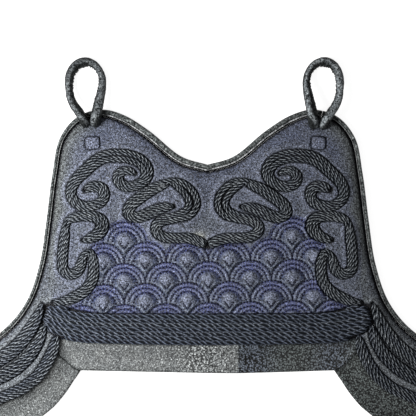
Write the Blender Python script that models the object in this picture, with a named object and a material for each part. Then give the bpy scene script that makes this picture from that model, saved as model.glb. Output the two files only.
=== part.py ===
"""A kendo chest piece (mune) laid flat, face up: a padded leather breast panel with an under-arm
wing on each side, thin lacing flaps along the lower edges, rolled bindings round the neck and
armholes, two rolled shoulder loops, and raised scrolls of couched cord over stitched wave scales.

Metres, +Z up, +Y towards the neck. The origin is at the bottom centre of the bounding box.
The shapes are drawn in millimetres on a pattern plane: u to the wearer's left (the viewer's
right), v towards the neck from the hem line, z up from the table. Only the right-hand half is
drawn; the other half is its mirror image. Left and right in names are as seen from above.
"""

import math

import bmesh
import bpy
import numpy as np
from mathutils import Vector
from mathutils.geometry import delaunay_2d_cdt

MM = 0.001

# Thicknesses and heights
PAD_TOP = 8.5  # face of the padded leather above the table
RIM_DROP = 2.5  # how far the face falls to its bound edge
RIM_WIDTH = 8.0  # width of that fall
FLAP_THICK = 2.2
CORD_RISE = 3.2  # height of the couched cord on the leather
TAB_RISE = 1.2
GAP = 0.3  # clearance between neighbouring pieces

# Bound edges
BEAD = 2.2  # width of the small welt inside the binding roll
BINDING_TOP = 7.7
BINDING_BOTTOM = 0.9
NECK_BINDING_END = 115.0  # |u| where the neck binding meets the armhole binding, under a loop
NECK_BINDING_END_V = 215.0  # both are above this v there

# Wave scales, quilted into the leather
SCALE_PITCH = 42.0
SCALE_ROW = 20.6
LOWEST_SCALE_V = 18.9
FIELD_SHIFT = 1.0  # u of the middle column
FIELD_RISE = 0.0245  # rise of each row to the right, because the field lies a little askew
DOME_OFFSET = 1.0  # how far a scale's raised middle is above its centre
DOME_RADIUS = 11.2
DOME_RISE = 2.8

# Crease across the middle flap
CREASE_U = 30.0
CREASE_RISE = 4.0
CREASE_REACH_LEFT = 70.0
CREASE_REACH_RIGHT = 34.0


def table(columns, *rows):
    """A small table as one array for each named column."""
    return dict(zip(columns.split(), np.array(rows, float).T))


# Outer edge of the garment from the middle of the neck, over the shoulder and down the armhole
# to the end of the wing. roll is the width of the binding roll there.
EDGE = table(
    "u v roll",
    (0, 178.4, 6.4),
    (26, 186.6, 6.4),
    (58.6, 212.6, 6.6),
    (83.5, 228.0, 6.6),
    (105, 233.6, 6.0),
    (129.8, 226.8, 5.0),
    (147.8, 205.4, 4.6),
    (155.4, 170.0, 4.6),
    (161.6, 122.0, 4.6),
    (168.4, 78.6, 4.6),
    (182.5, 39.5, 4.6),
    (208, 10.2, 4.6),
    (247, -10.0, 4.6),
    (284, -18.2, 4.6),
    (322, -26.0, 4.6),
)

# Where the wing starts, measured along the edge from the neck: the edge point nearest this u
WING_START_U = 176.0

# Lower edge of the padding, from the middle of the hem to the corner where the wing starts
HEM_EDGE = table("u v", (0, -2.0), (60, -1.6), (108, -0.4), (138, 2.2), (149.2, 3.2))

# Inner edge of the wing's padding and outer edge of its flap: s is the distance along the edge
# from the wing's start, t the distance in from the edge.
PAD_EDGE = table(
    "s t", (30, 53.8), (36, 57.0), (44, 60.4), (54, 62.8), (64, 63.4), (78, 61.6), (220, 61.4)
)
FLAP_EDGE = table("s t", (32, 84.8), (38, 85.4), (46, 88.6), (56, 92.0), (66, 93.6), (220, 93.4))
CORNER_STATIONS = (30, 33, 36, 40, 44, 49, 54, 59, 64, 71, 78)  # s, where the two edges bend
STATION_STEP = 12.0  # from there on
WING_CORNER = 9.0  # radius of the two corners at the wing's end
WING_FLAP_TOP = -9.0  # v where the wing's flap starts, beside the seam

# Middle lacing flap: its lower edge, and the seam that parts it from a wing's flap
FLAP_LOWER = table("u v", (-127, -27.8), (-60, -29.2), (30, -30.4), (127, -27.8))
FLAP_SEAM = table(
    "u v",
    (148.8, 2.9), (148.2, -6), (148.2, -9.5), (145.8, -13.4), (142.2, -17.4), (138, -21.4),
    (133, -25.4), (127, -27.8),
)  # fmt: skip

# Centre lines of the couched cord, as u, v and the band's width
HEM_BAND = table(
    "u v width",
    (-162.6, 29.6, 16), (-157, 27.2, 24), (-149, 22.8, 29.5), (-137, 18.4, 30.8),
    (-122, 15.8, 30), (-106, 14.8, 29), (-60, 13.8, 30), (0, 13.3, 30.4), (60, 13.8, 30),
    (106, 14.8, 29), (122, 15.8, 30), (137, 18.4, 30.8), (149, 22.8, 29.5), (157, 27.2, 24),
    (162.6, 29.6, 16),
)  # fmt: skip
SCROLLS = {
    "arch_scroll": table(
        "u v width",
        (122.5, 153.0, 5), (114.5, 156.4, 9.2), (106.4, 155.2, 9.8), (103.0, 148.2, 9.4),
        (106.0, 141.4, 9), (113.4, 137.6, 9), (122, 136.4, 9), (130.8, 139.8, 9),
        (136.0, 147.0, 9), (135.4, 156.0, 9.6), (130.0, 164.5, 10.4), (121.8, 172.2, 11),
        (113.8, 179.8, 11.6), (104.5, 185.4, 12), (92, 187.4, 12.4), (78, 186.2, 12.4),
        (66.5, 181.2, 12.2), (60.4, 172.4, 11.6), (62.4, 163.6, 10.2), (69.8, 158.4, 9.4),
        (79, 156.2, 9.2), (87, 159.6, 9.2), (89.6, 166.2, 9), (85.2, 171.6, 8),
        (78, 172.2, 6.4), (71.8, 169.2, 3),
    ),  # fmt: skip
    "crest_scroll": table(
        "u v width",
        (43.2, 158.8, 7.6), (52.5, 154.8, 10), (61, 149.8, 10.6), (69.5, 143.6, 10.6),
        (76.8, 137.2, 10.4), (78.8, 130.0, 10), (72.6, 125.8, 10), (63.0, 127.6, 10.4),
        (52.6, 132.2, 10.8), (42.6, 135.6, 8.6), (33.8, 136.4, 3),
    ),  # fmt: skip
    "heart_scroll": table(
        "u v width",
        (38.4, 161.6, 4.6), (28.8, 158.8, 11), (18.8, 150.8, 13.4), (14.2, 139.8, 13.6),
        (18.6, 130.6, 12.4), (30.2, 125.8, 10), (42, 123.4, 9.6), (50.4, 118.4, 9.2),
        (50.8, 111.4, 9), (43.6, 106.2, 9), (31, 104.8, 9), (18, 104.6, 9.4), (8.4, 101.4, 9.2),
        (3.4, 98.6, 7.4),
    ),  # fmt: skip
    "hook_scroll": table(
        "u v width",
        (124.6, 102.8, 3.4), (117.5, 104.6, 7.8), (110.0, 108.4, 10.8), (105.2, 114.8, 12),
        (105.8, 121.4, 11.6), (111.4, 125.8, 10.2), (121, 126.9, 9), (131, 125.8, 8.4),
        (138.2, 122.8, 6),
    ),  # fmt: skip
    "side_scroll": table(
        "u v width",
        (141.4, 116.6, 5.6), (142.8, 106.0, 8.4), (144.2, 94.0, 8.8), (145.0, 81.4, 9),
        (143.4, 72.6, 9), (136.2, 68.6, 9), (129.2, 72.2, 9), (125.8, 79.6, 8.4),
        (123.6, 87.0, 5.6),
    ),  # fmt: skip
    "foot_scroll": table(
        "u v width",
        (117.4, 91.0, 5.4), (114.4, 83.6, 8.4), (113.6, 74.0, 9.4), (114.6, 64.6, 9.6),
        (119.0, 56.0, 9.8), (126.6, 49.2, 10), (136, 44.5, 9.6), (146, 41.2, 6.6),
        (154, 40.4, 4),
    ),  # fmt: skip
}

# Cord bands along a wing, in the wing's own s and t
WING_BANDS = {
    "outer_cord": table(
        "s t width",
        (8, 15.2, 2.5), (14, 16.3, 6), (21, 17.6, 9.6), (30, 19.2, 11.4), (42, 21.0, 12.6),
        (56, 22.3, 13), (200, 22.3, 12.6),
    ),  # fmt: skip
    "middle_cord": table(
        "s t width",
        (22.4, 27.6, 3), (27.6, 30.4, 7.4), (34, 33.4, 9.6), (46, 36.8, 11.6), (60, 38.5, 12.8),
        (76, 38.2, 11.8), (200, 38.0, 11.6),
    ),  # fmt: skip
    "inner_cord": table(
        "s t width",
        (23.4, 44.2, 3), (28, 47.0, 8.2), (34, 50.4, 10.4), (42, 54.2, 10.8), (52, 57.8, 11.2),
        (64, 59.0, 10.6), (78, 57.2, 9.8), (200, 56.6, 9.6),
    ),  # fmt: skip
}
WING_BAND_END = 6.0  # the cords stop this far short of the wing's end
BAND_BEND_END = 80.0  # s, from where on they run straight along the wing

# Shoulder loops: a leaning teardrop of rolled leather. up is measured from the foot; outer and
# inner are how far the strand away from the body's middle and the one next to it are from the
# loop's own middle line; clear is how high the roll's underside is.
LOOP_FOOT = {"left": (-117.4, 219.5), "right": (111.6, 217.5)}  # middle of each loop's foot
LOOP_LEAN = {"left": -6.0, "right": 5.3}  # degrees from straight up, towards +u
LOOP_SHAPE = table(
    "up outer outer_radius inner inner_radius clear",
    (0, 4.8, 4.2, 5.3, 4.8, 4.7),
    (1.2, 5.1, 4.5, 5.7, 5.2, 7.0),
    (7, 7.1, 4.7, 7.1, 5.5, 8.4),
    (13, 10.0, 4.7, 8.7, 5.4, 7.9),
    (20, 14.0, 4.5, 10.9, 5.2, 6.4),
    (28, 16.7, 4.2, 13.5, 4.8, 5.2),
    (36, 17.1, 4.1, 15.7, 4.3, 3.9),
    (44, 16.5, 4.5, 16.5, 3.9, 2.4),
    (52, 14.0, 4.9, 14.4, 3.8, 0.9),
    (59, 8.2, 5.1, 8.6, 4.4, 0.3),
    (61.6, 0, 5.2, 0, 5.2, 0.2),
)
TAB_SIZE = (14.0, 12.6)
TAB_V = 200.0
TAB_U = {"left": -115.0, "right": 111.0}

MATERIALS = {  # name: (colour, roughness)
    "face_leather": ((0.085, 0.095, 0.13), 0.5),
    "flap_leather": ((0.13, 0.14, 0.14), 0.55),
    "binding_leather": ((0.05, 0.055, 0.055), 0.45),
    "loop_leather": ((0.09, 0.095, 0.095), 0.5),
    "cord": ((0.03, 0.033, 0.045), 0.7),
}


# ---------------------------------------------------------------- curves on the pattern plane


def smooth(columns, step):
    """A smooth curve through the table's rows, resampled about step mm apart. The first two
    columns are its place; the others are carried along."""
    knots = np.column_stack(list(columns.values()))
    ends = np.vstack([2 * knots[0] - knots[1], knots, 2 * knots[-1] - knots[-2]])
    gaps = np.sqrt(np.linalg.norm(np.diff(ends[:, :2], axis=0), axis=1))  # centripetal
    fine = []
    for i in range(1, len(ends) - 2):
        before, start, end, after = ends[i - 1 : i + 3]
        g0, g1, g2 = gaps[i - 1 : i + 2]
        leaving = (start - before) / g0 - (end - before) / (g0 + g1) + (end - start) / g1
        arriving = (end - start) / g1 - (after - start) / (g1 + g2) + (after - end) / g2
        x = np.linspace(0, 1, 24, endpoint=False)[:, None]
        fine.append(
            (2 * x**3 - 3 * x**2 + 1) * start
            + (x**3 - 2 * x**2 + x) * leaving * g1
            + (-2 * x**3 + 3 * x**2) * end
            + (x**3 - x**2) * arriving * g1
        )
    return resampled(np.vstack([*fine, knots[-1:]]), step)


def lengths(path):
    """Distance along the path to each of its points."""
    return np.concatenate([[0], np.cumsum(np.linalg.norm(np.diff(path[:, :2], axis=0), axis=1))])


def resampled(path, step):
    """The same path with points evenly spaced, about step mm apart."""
    along = lengths(path)
    wanted = np.linspace(0, along[-1], max(2, round(along[-1] / step) + 1))
    return np.column_stack([np.interp(wanted, along, column) for column in path.T])


def inward(path):
    """Unit vectors across the path, to the right of its direction: into the garment on EDGE."""
    along = np.gradient(path[:, :2], axis=0)
    along /= np.linalg.norm(along, axis=1)[:, None]
    return np.column_stack([along[:, 1], -along[:, 0]])


def mirrored(path):
    """The path's mirror image in the centre line, run backwards so that it turns the same way."""
    image = np.array(path, float)[::-1].copy()
    image[:, 0] *= -1
    return image


EDGE_PATH = smooth(EDGE, 1.0)
EDGE_LENGTHS = lengths(EDGE_PATH)
WING_FROM = EDGE_LENGTHS[np.argmin(np.abs(EDGE_PATH[:, 0] - WING_START_U))]
WING_LENGTH = EDGE_LENGTHS[-1] - WING_FROM


def on_edge(distance, depth):
    """Points at these distances along the edge from the neck, and this deep inside it."""
    across = inward(EDGE_PATH)
    at = [np.interp(distance, EDGE_LENGTHS, EDGE_PATH[:, k]) for k in (0, 1)]
    into = [np.interp(distance, EDGE_LENGTHS, across[:, k]) for k in (0, 1)]
    return np.column_stack([at[0] + depth * into[0], at[1] + depth * into[1]])


def edge_between(first, last):
    """The stretch of the edge between two distances from the neck."""
    distance = np.linspace(first, last, round(last - first))
    return np.column_stack([np.interp(distance, EDGE_LENGTHS, part) for part in EDGE_PATH.T])


def on_wing(s, t):
    """Points of the wing from its own measures, s along its edge and t in from it."""
    return on_edge(WING_FROM + np.asarray(s, float), np.asarray(t, float))


def bound_depth(distance):
    """How deep the padded leather starts inside the edge: past the roll and its bead."""
    return np.interp(distance, EDGE_LENGTHS, EDGE_PATH[:, 2]) + BEAD + 2 * GAP


def rounded_corner(before, corner, after, radius, steps=3):
    """An arc in place of a corner, tangent to its two sides."""
    before, corner, after = (np.array(p, float) for p in (before, corner, after))
    a = (before - corner) / np.linalg.norm(before - corner)
    b = (after - corner) / np.linalg.norm(after - corner)
    x = np.linspace(0, 1, steps + 1)[:, None]
    return corner + radius * ((1 - x) ** 2 * a + x**2 * b)


# ---------------------------------------------------------------- height of the leather


def rim_path():
    """Bound edge of the padded leather, both halves, as one path."""
    distance = np.arange(0, EDGE_LENGTHS[-1], 3.0)
    half = on_edge(distance, bound_depth(distance))
    return np.vstack([mirrored(half)[:-1], half])


RIM = rim_path()


def distance_to(points, path):
    """Distance from each point to the nearest stretch of the path."""
    start, run = path[:-1], np.diff(path, axis=0)
    nearest = np.full(len(points), np.inf)
    for a, r in zip(start, run):
        x = np.clip((points - a) @ r / (r @ r), 0, 1)
        nearest = np.minimum(nearest, np.linalg.norm(points - a - x[:, None] * r, axis=1))
    return nearest


def dome_centres():
    """Raised middle of each whole quilted scale: staggered rows above the hem band."""
    rows = table(
        "row from_half to_half",  # in half pitches from the centre line
        (1, 1, 5),
        (2, 0, 4),
        (3, 1, 5),
        (4, 4, 4),
    )
    centres = []
    for row, first, last in zip(*rows.values()):
        v = LOWEST_SCALE_V + row * SCALE_ROW + DOME_OFFSET
        for half in np.arange(first, last + 1, 2):
            for side in (-1, 1) if half else (1,):
                u = FIELD_SHIFT + side * half * SCALE_PITCH / 2
                centres.append((u, v + FIELD_RISE * u))
    return centres


def face_height(points):
    """Top of the padded leather: flat, falling at the bound edges, raised in each scale."""
    points = np.asarray(points, float)
    fall = 1 - np.clip(distance_to(points, RIM) / RIM_WIDTH, 0, 1)
    height = PAD_TOP - RIM_DROP * fall**2
    for centre in dome_centres():
        share = np.linalg.norm(points - centre, axis=1) / DOME_RADIUS
        height += DOME_RISE * np.clip(1 - share**2, 0, None)
    return height


def flap_lift(points):
    """How far the middle flap's crease lifts it off the table."""
    u = np.asarray(points, float)[:, 0] - CREASE_U
    reach = np.where(u < 0, CREASE_REACH_LEFT, CREASE_REACH_RIGHT)
    return CREASE_RISE * np.clip(1 - np.abs(u) / reach, 0, None) ** 1.4


def level(height):
    """A surface at one height."""
    return lambda points: np.full(len(points), float(height))


# ---------------------------------------------------------------- solids


def material(name):
    found = bpy.data.materials.get(name)
    if found:
        return found
    colour, roughness = MATERIALS[name]
    made = bpy.data.materials.new(name)
    made.use_nodes = True
    shader = made.node_tree.nodes["Principled BSDF"]
    shader.inputs["Base Color"].default_value = (*colour, 1)
    shader.inputs["Roughness"].default_value = roughness
    return made


def add_solid(name, points, faces, finish):
    """An object from points in mm, its faces turned outwards and shaded smooth."""
    mesh = bpy.data.meshes.new(name)
    mesh.from_pydata([Vector(p) * MM for p in points], [], faces)
    shape = bmesh.new()
    shape.from_mesh(mesh)
    bmesh.ops.recalc_face_normals(shape, faces=shape.faces)
    shape.to_mesh(mesh)
    shape.free()
    mesh.shade_smooth()
    mesh.set_sharp_from_angle(angle=math.radians(40))
    mesh.materials.append(material(finish))
    solid = bpy.data.objects.new(name, mesh)
    bpy.context.scene.collection.objects.link(solid)
    return solid


def triangulated(outline, inner):
    """Triangles that fill the outline, with the inner points among their corners."""
    everything = outline if inner is None else np.vstack([outline, inner])
    points = [Vector(p) for p in everything]
    loop = list(range(len(outline)))
    corners, _, faces, *_ = delaunay_2d_cdt(points, [], [loop], 1, 1e-4)
    return np.array([tuple(c) for c in corners]), [tuple(f) for f in faces]


def inside(points, outline):
    """Which points lie inside the outline."""
    x, y = np.asarray(points, float).T
    crossed = np.zeros(len(x), int)
    for (ax, ay), (bx, by) in zip(outline, np.roll(outline, -1, axis=0)):
        spans = (ay > y) != (by > y)
        at = ax + (y - ay) * (bx - ax) / np.where(by == ay, np.inf, by - ay)
        crossed += spans & (x < at)
    return crossed % 2 == 1


def fill_points(outline, spacing, margin):
    """Staggered points inside the outline, none nearer its edge than the margin."""
    low, high = outline.min(axis=0), outline.max(axis=0)
    rows = np.arange(low[1], high[1], spacing * math.sqrt(3) / 2)
    grid = [
        (u + (k % 2) * spacing / 2, v)
        for k, v in enumerate(rows)
        for u in np.arange(low[0], high[0], spacing)
    ]
    grid = np.array(grid)
    grid = grid[inside(grid, outline)]
    closed = np.vstack([outline, outline[:1]])
    return grid[distance_to(grid, closed) > margin]


def slab(name, outline, top, bottom, finish, inner=None, inner_below=None):
    """A closed sheet of some thickness: its outline filled at the top and at the bottom
    surface, and joined round the edge."""
    outline = np.asarray(outline, float)
    upper, upper_faces = triangulated(outline, inner)
    lower, lower_faces = triangulated(outline, inner_below)
    points = [(*p, z) for p, z in zip(upper, top(upper))]
    points += [(*p, z) for p, z in zip(lower, bottom(lower))]
    shift = len(upper)
    count = len(outline)
    faces = upper_faces + [tuple(shift + i for i in face) for face in lower_faces]
    faces += [(i, (i + 1) % count, shift + (i + 1) % count, shift + i) for i in range(count)]
    return add_solid(name, points, faces, finish)


def skin(name, sections, finish):
    """A solid from a row of sections with the same number of points, flat at its two ends."""
    sections = np.asarray(sections, float)
    count, around = sections.shape[:2]
    faces = []
    for i in range(count - 1):
        for k in range(around):
            m = (k + 1) % around
            here, after = i * around, (i + 1) * around
            faces.append((here + k, here + m, after + m, after + k))
    faces.append(tuple(range(around)))
    faces.append(tuple((count - 1) * around + k for k in reversed(range(around))))
    return add_solid(name, sections.reshape(-1, 3), faces, finish)


def band(name, path):
    """A low ridge of couched cord along a path of u, v and width, resting on the leather."""
    across = inward(path)
    sections = []
    for (u, v, width), side in zip(path, across):
        profile = table(
            "off rise", (-0.5, 0), (-0.4, 0.72), (0, 1), (0.4, 0.72), (0.5, 0)
        )
        section = []
        for off, rise in zip(*profile.values()):
            at = np.array([u, v]) + off * width * side
            around = at + np.array([(0, 0), (3, 0), (-3, 0), (0, 3), (0, -3)])
            section.append((*at, face_height(around).max() + GAP + rise * CORD_RISE))
        sections.append(section)
    return skin(name, sections, "cord")


def tube(name, path, radii, finish, around=8):
    """A round solid along a path in space. Its two ends are cut level, to sit on the face."""
    ahead = np.gradient(path, axis=0)
    ahead[0] = (0, 0, 1)
    ahead[-1] = (0, 0, -1)
    ahead /= np.linalg.norm(ahead, axis=1)[:, None]
    turn = np.arange(around) * 2 * np.pi / around
    side = np.array([1.0, 0, 0])
    sections = []
    for centre, forward, radius in zip(path, ahead, radii):
        side = side - forward * (side @ forward)
        side /= np.linalg.norm(side)
        other = np.cross(forward, side)
        ring = np.outer(np.cos(turn), side) + np.outer(np.sin(turn), other)
        sections.append(centre + radius * ring)
    return skin(name, sections, finish)


# ---------------------------------------------------------------- the pieces


def wing_stations():
    """Places along the wing where its padding and flap have their corners."""
    last = WING_LENGTH - WING_CORNER - STATION_STEP / 2
    straight = np.arange(CORNER_STATIONS[-1] + STATION_STEP, last, STATION_STEP)
    return np.concatenate([CORNER_STATIONS, straight])


def pad_edge(extra):
    """Inner edge of the wing's padding from the hem corner to the wing's end, moved in."""
    s = wing_stations()
    return on_wing(s, np.interp(s, PAD_EDGE["s"], PAD_EDGE["t"]) + extra)


def hem_edge(extra):
    """Lower edge of the chest's padding from the middle to the hem corner, moved down."""
    return smooth(HEM_EDGE, 12.0) - (0, extra)


def padded_outline():
    """Half the outline of the padded leather, from the middle of the neck round to the hem."""
    last = EDGE_LENGTHS[-1]
    distance = np.concatenate([np.arange(0, last - WING_CORNER, 7.0), [last - WING_CORNER]])
    rim = on_edge(distance, bound_depth(distance))
    depth = PAD_EDGE["t"][-1]
    first = bound_depth(np.array([last]))[0]
    outer = on_edge([last - WING_CORNER, last, last], [first, first, first + WING_CORNER])
    inner = on_edge([last, last, last - WING_CORNER], [depth - WING_CORNER, depth, depth])
    end = [
        rounded_corner(*outer, WING_CORNER)[1:],
        rounded_corner(*inner, WING_CORNER),
    ]
    return np.vstack([rim, *end, pad_edge(0)[::-1], hem_edge(0)[::-1]])


def both_halves(half):
    """A closed outline from the half that runs from the centre line back to it."""
    return np.vstack([half, mirrored(half)[1:-1]])


def padded_panel():
    outline = both_halves(padded_outline())
    grid = fill_points(outline, 15.0, 6.0)
    rings = []
    for centre in dome_centres():
        turn = np.arange(10) * np.pi / 5
        circle = np.column_stack([np.cos(turn), np.sin(turn)])
        rings += [[centre], centre + DOME_RADIUS * circle, centre + 0.55 * DOME_RADIUS * circle]
        grid = grid[np.linalg.norm(grid - centre, axis=1) > DOME_RADIUS + 3]
    distance = np.arange(2, EDGE_LENGTHS[-1] - 4, 8.0)
    for share in (0.45, 1.0):
        line = on_edge(distance, bound_depth(distance) + share * RIM_WIDTH)
        rings += [line, mirrored(line)]
    inner = np.vstack([grid, *rings])
    inner = inner[inside(inner, outline)]
    slab("padded_panel", outline, face_height, level(0), "face_leather", inner)


def lacing_flaps():
    hem = hem_edge(GAP)
    seam = smooth(FLAP_SEAM, 6.0)
    lower = smooth(FLAP_LOWER, 13.0)
    top = np.vstack([mirrored(hem)[:-1], hem])
    middle = np.vstack([top[1:-1], seam[:-1], lower[::-1][:-1], mirrored(seam)])
    inner = fill_points(middle, 11.0, 4.0)
    crease = np.column_stack([np.full(3, CREASE_U), [-23.0, -15, -7]])
    inner = np.vstack([inner[np.abs(inner[:, 0] - CREASE_U) > 4], crease])

    def lifted(height):
        return lambda points: flap_lift(points) + height

    slab("middle_flap", middle, lifted(FLAP_THICK), lifted(0), "flap_leather", inner, inner)

    seam = (seam - GAP * inward(seam))[seam[:, 1] < WING_FLAP_TOP]
    stations = wing_stations()[2:]
    far = on_wing(stations, np.interp(stations, FLAP_EDGE["s"], FLAP_EDGE["t"]))
    depth = PAD_EDGE["t"][-1] + GAP
    edge = FLAP_EDGE["t"][-1]
    corner = on_wing(
        [WING_LENGTH, WING_LENGTH, WING_LENGTH - WING_CORNER], [edge - WING_CORNER, edge, edge]
    )
    start = on_wing([WING_LENGTH], [depth])
    end = np.vstack([start, rounded_corner(*corner, WING_CORNER)])
    half = np.vstack([pad_edge(GAP)[1:], end, far[::-1], seam[::-1]])
    for side, outline in (("right", half), ("left", mirrored(half))):
        slab(f"{side}_wing_flap", outline, level(FLAP_THICK), level(0), "flap_leather")


def binding(name, path):
    """A roll of leather over the bound edge, with a small welt on its inner side, along a
    path of u, v and the roll's width."""
    sections = []
    for u, v, roll, side_u, side_v in resampled(np.column_stack([path, inward(path)]), 9.0):
        profile = table(
            "off z",
            (0, BINDING_BOTTOM),
            (-0.2, 4.6),
            (roll * 0.5, BINDING_TOP),
            (roll, 5.4),
            (roll + BEAD * 0.5, 6.0),
            (roll + BEAD, 5.0),
            (roll + BEAD, BINDING_BOTTOM),
        )
        off, z = profile.values()
        sections.append(np.column_stack([u + off * side_u, v + off * side_v, z]))
    skin(name, sections, "binding_leather")


def bindings():
    """The neck's binding, and one for each armhole that runs on to the wing's end."""
    shoulder = EDGE_PATH[:, 1] > NECK_BINDING_END_V
    peak = EDGE_LENGTHS[shoulder][np.argmin(np.abs(EDGE_PATH[shoulder, 0] - NECK_BINDING_END))]
    neck = edge_between(0, peak)
    arm = edge_between(peak + 1.5 * GAP, EDGE_LENGTHS[-1])
    binding("neck_binding", np.vstack([mirrored(neck)[:-1], neck]))
    binding("right_binding", arm)
    binding("left_binding", mirrored(arm))


def cords():
    band("hem_band", smooth(HEM_BAND, 13.0))
    for name, columns in SCROLLS.items():
        path = smooth(columns, 6.5)
        band(f"right_{name}", path)
        band(f"left_{name}", mirrored(path))
    for name, columns in WING_BANDS.items():
        bend = np.arange(columns["s"][0], BAND_BEND_END, 7.0)
        s = np.concatenate([bend, np.arange(BAND_BEND_END, WING_LENGTH - WING_BAND_END, 12.0)])
        at = on_wing(s, np.interp(s, columns["s"], columns["t"]))
        path = np.column_stack([at, np.interp(s, columns["s"], columns["width"])])
        band(f"right_{name}", path)
        band(f"left_{name}", mirrored(path))


def shoulder_loops():
    """Each loop's roll, from its outer foot over the top to its inner foot."""
    shape = LOOP_SHAPE
    for side, outward in (("left", -1), ("right", 1)):
        across = np.concatenate([outward * shape["outer"], -outward * shape["inner"][-2::-1]])
        radius = np.concatenate([shape["outer_radius"], shape["inner_radius"][-2::-1]])
        up, clear = (np.concatenate([shape[k], shape[k][-2::-1]]) for k in ("up", "clear"))
        lean = math.radians(LOOP_LEAN[side])
        foot_u, foot_v = LOOP_FOOT[side]
        u = foot_u + across * math.cos(lean) + up * math.sin(lean)
        v = foot_v - across * math.sin(lean) + up * math.cos(lean)
        path = smooth({"u": u, "v": v, "z": clear + radius, "radius": radius}, 6.0)
        tube(f"{side}_loop", path[:, :3], path[:, 3], "loop_leather")


def loop_tabs():
    width, height = TAB_SIZE
    for side in ("left", "right"):
        u, v = TAB_U[side], TAB_V
        box = [
            (u + x * width / 2, v + y * height / 2) for x, y in ((-1, -1), (1, -1), (1, 1), (-1, 1))
        ]
        corners = [rounded_corner(box[i - 1], box[i], box[(i + 1) % 4], 3.0) for i in range(4)]
        outline = np.vstack(corners)
        floor = PAD_TOP + GAP
        slab(f"{side}_loop_tab", outline, level(floor + TAB_RISE), level(floor), "face_leather")


def rest_at_origin():
    """Moves everything so that the middle of its underside is the origin."""
    shapes = [o for o in bpy.data.objects if o.type == "MESH"]
    corners = np.array([tuple(v.co) for o in shapes for v in o.data.vertices])
    low, high = corners.min(axis=0), corners.max(axis=0)
    middle = (low + high) / 2
    for solid in shapes:
        for vertex in solid.data.vertices:
            vertex.co -= Vector((middle[0], middle[1], low[2]))


for leftover in list(bpy.data.objects):
    bpy.data.objects.remove(leftover)
padded_panel()
lacing_flaps()
bindings()
cords()
shoulder_loops()
loop_tabs()
rest_at_origin()
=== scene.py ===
"""How the kendo breast panel looks: grained leather, quilted wave scales with their stitches,
couched twisted cord, rolled bindings and loops, on a pale floor, with a low lamp on the left.

The shapes are worked out in millimetres on the same pattern plane as the solids: u to the
viewer's right, v towards the neck from the hem line, z up from the floor. Left and right in names
are as seen from above.
"""

import math

import bpy
import numpy as np
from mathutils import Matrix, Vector, noise
from mathutils.geometry import delaunay_2d_cdt


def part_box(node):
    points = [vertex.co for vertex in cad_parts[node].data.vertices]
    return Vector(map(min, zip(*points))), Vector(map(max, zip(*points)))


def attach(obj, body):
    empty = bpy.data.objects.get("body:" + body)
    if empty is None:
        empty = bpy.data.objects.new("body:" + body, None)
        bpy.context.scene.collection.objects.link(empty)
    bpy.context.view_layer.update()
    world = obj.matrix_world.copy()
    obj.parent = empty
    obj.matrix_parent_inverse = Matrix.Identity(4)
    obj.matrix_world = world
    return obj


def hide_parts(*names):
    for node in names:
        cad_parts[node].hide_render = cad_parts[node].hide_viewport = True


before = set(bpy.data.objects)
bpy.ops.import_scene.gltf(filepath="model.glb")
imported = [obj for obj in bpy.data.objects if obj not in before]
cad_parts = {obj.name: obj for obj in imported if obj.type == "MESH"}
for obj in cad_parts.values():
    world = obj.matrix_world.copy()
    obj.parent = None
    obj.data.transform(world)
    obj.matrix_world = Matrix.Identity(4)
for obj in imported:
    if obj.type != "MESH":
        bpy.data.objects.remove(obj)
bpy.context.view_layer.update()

MM = 0.001

# Heights and thicknesses, as in the solids
PAD_TOP = 8.5
FLAP_THICK = 2.2
CORD_FLOOR = 8.8  # underside of the couched cord
CORD_RISE = 3.2
BINDING_TOP = 7.7
BINDING_BOTTOM = 0.9
GAP = 0.3

# How far the leather falls towards its edges, and from how far in
RIM_DIPS = ((2.2, 8.0), (1.5, 22.0))
FREE_DROP = 5.0
FREE_ROUND = 4.5
EDGE_ROUND = 0.5  # the last step down, at any sheet's upper edge

# Spacing of the meshes' points
WAVE_SPACING = 0.95
PLAIN_SPACING = 1.5
COVERED_SPACING = 3.2  # under the cord
FLAP_SPACING = 1.8
UNDER_SPACING = 12.0
OUTLINE_STEP = 1.6
BINDING_STEP = 0.8
CORD_STEP = 1.15
LOOP_STEP = 0.85

# Bound edge: widths as shares of the roll's width in the solids
ROLL_SHARE = 0.78
WELT_SHARE = 0.21
BOUND_SHARE = 1.16  # roll, welt and groove together
BINDING_INSET = 0.6
ROLL_HALF = 3.7  # half the roll's height
WELT_Z = 6.0
WELT_STITCH = 2.7  # from one of the welt's stitches to the next
LEDGE_TOP = 3.0  # of the groove's floor
NECK_BINDING_END = 115.0  # u and least v of the shoulder, where the neck's binding ends
NECK_BINDING_END_V = 215.0

# The middle flap's crease, and how flaps are lifted where they are sewn up
CREASE_U = 30.0
CREASE_RISE = 4.0
CREASE_REACH_LEFT = 70.0
CREASE_REACH_RIGHT = 34.0
SEWN_RISE = 4.4
SEWN_REACH = 9.5

# Wave scales: circles in staggered rows, the lower rows in front, the whole field a little askew
SCALE_PITCH = 42.0
SCALE_ROW = 20.6
LOWEST_SCALE_V = 18.9
FIELD_SHIFT = 1.0  # u of the middle column
FIELD_RISE = 0.0245  # rise to the right
STITCH_RADII = (21.3, 16.8, 12.3)  # the outermost is the scale's edge
STITCH_SWEEP = math.radians(236)  # how far round a scale its stitches go
STITCH_LENGTH = 2.0
STITCH_HALF = 0.95
STITCH_RISE = 0.5
STITCH_EVERY = 3.2  # from one stitch to the next
STITCH_SHAPE = ((-0.5, 0.4), (-0.36, 0.9), (0, 1), (0.36, 0.9), (0.5, 0.4))  # place and size
RING_DEPTH = 0.75  # how far the stitched lines are drawn down
PUFF_RISE = 3.4  # how high the middle of a scale is puffed up
PUFF_BULGES = {  # middle and half size of the bulges that make a puff
    "top": ((-0.2, 4.2), (8.6, 8.0)),
    "low": ((0, -4.8), (6.6, 6.0)),
    "wide": ((0.2, 0.8), (11.2, 11.2)),
}
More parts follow.
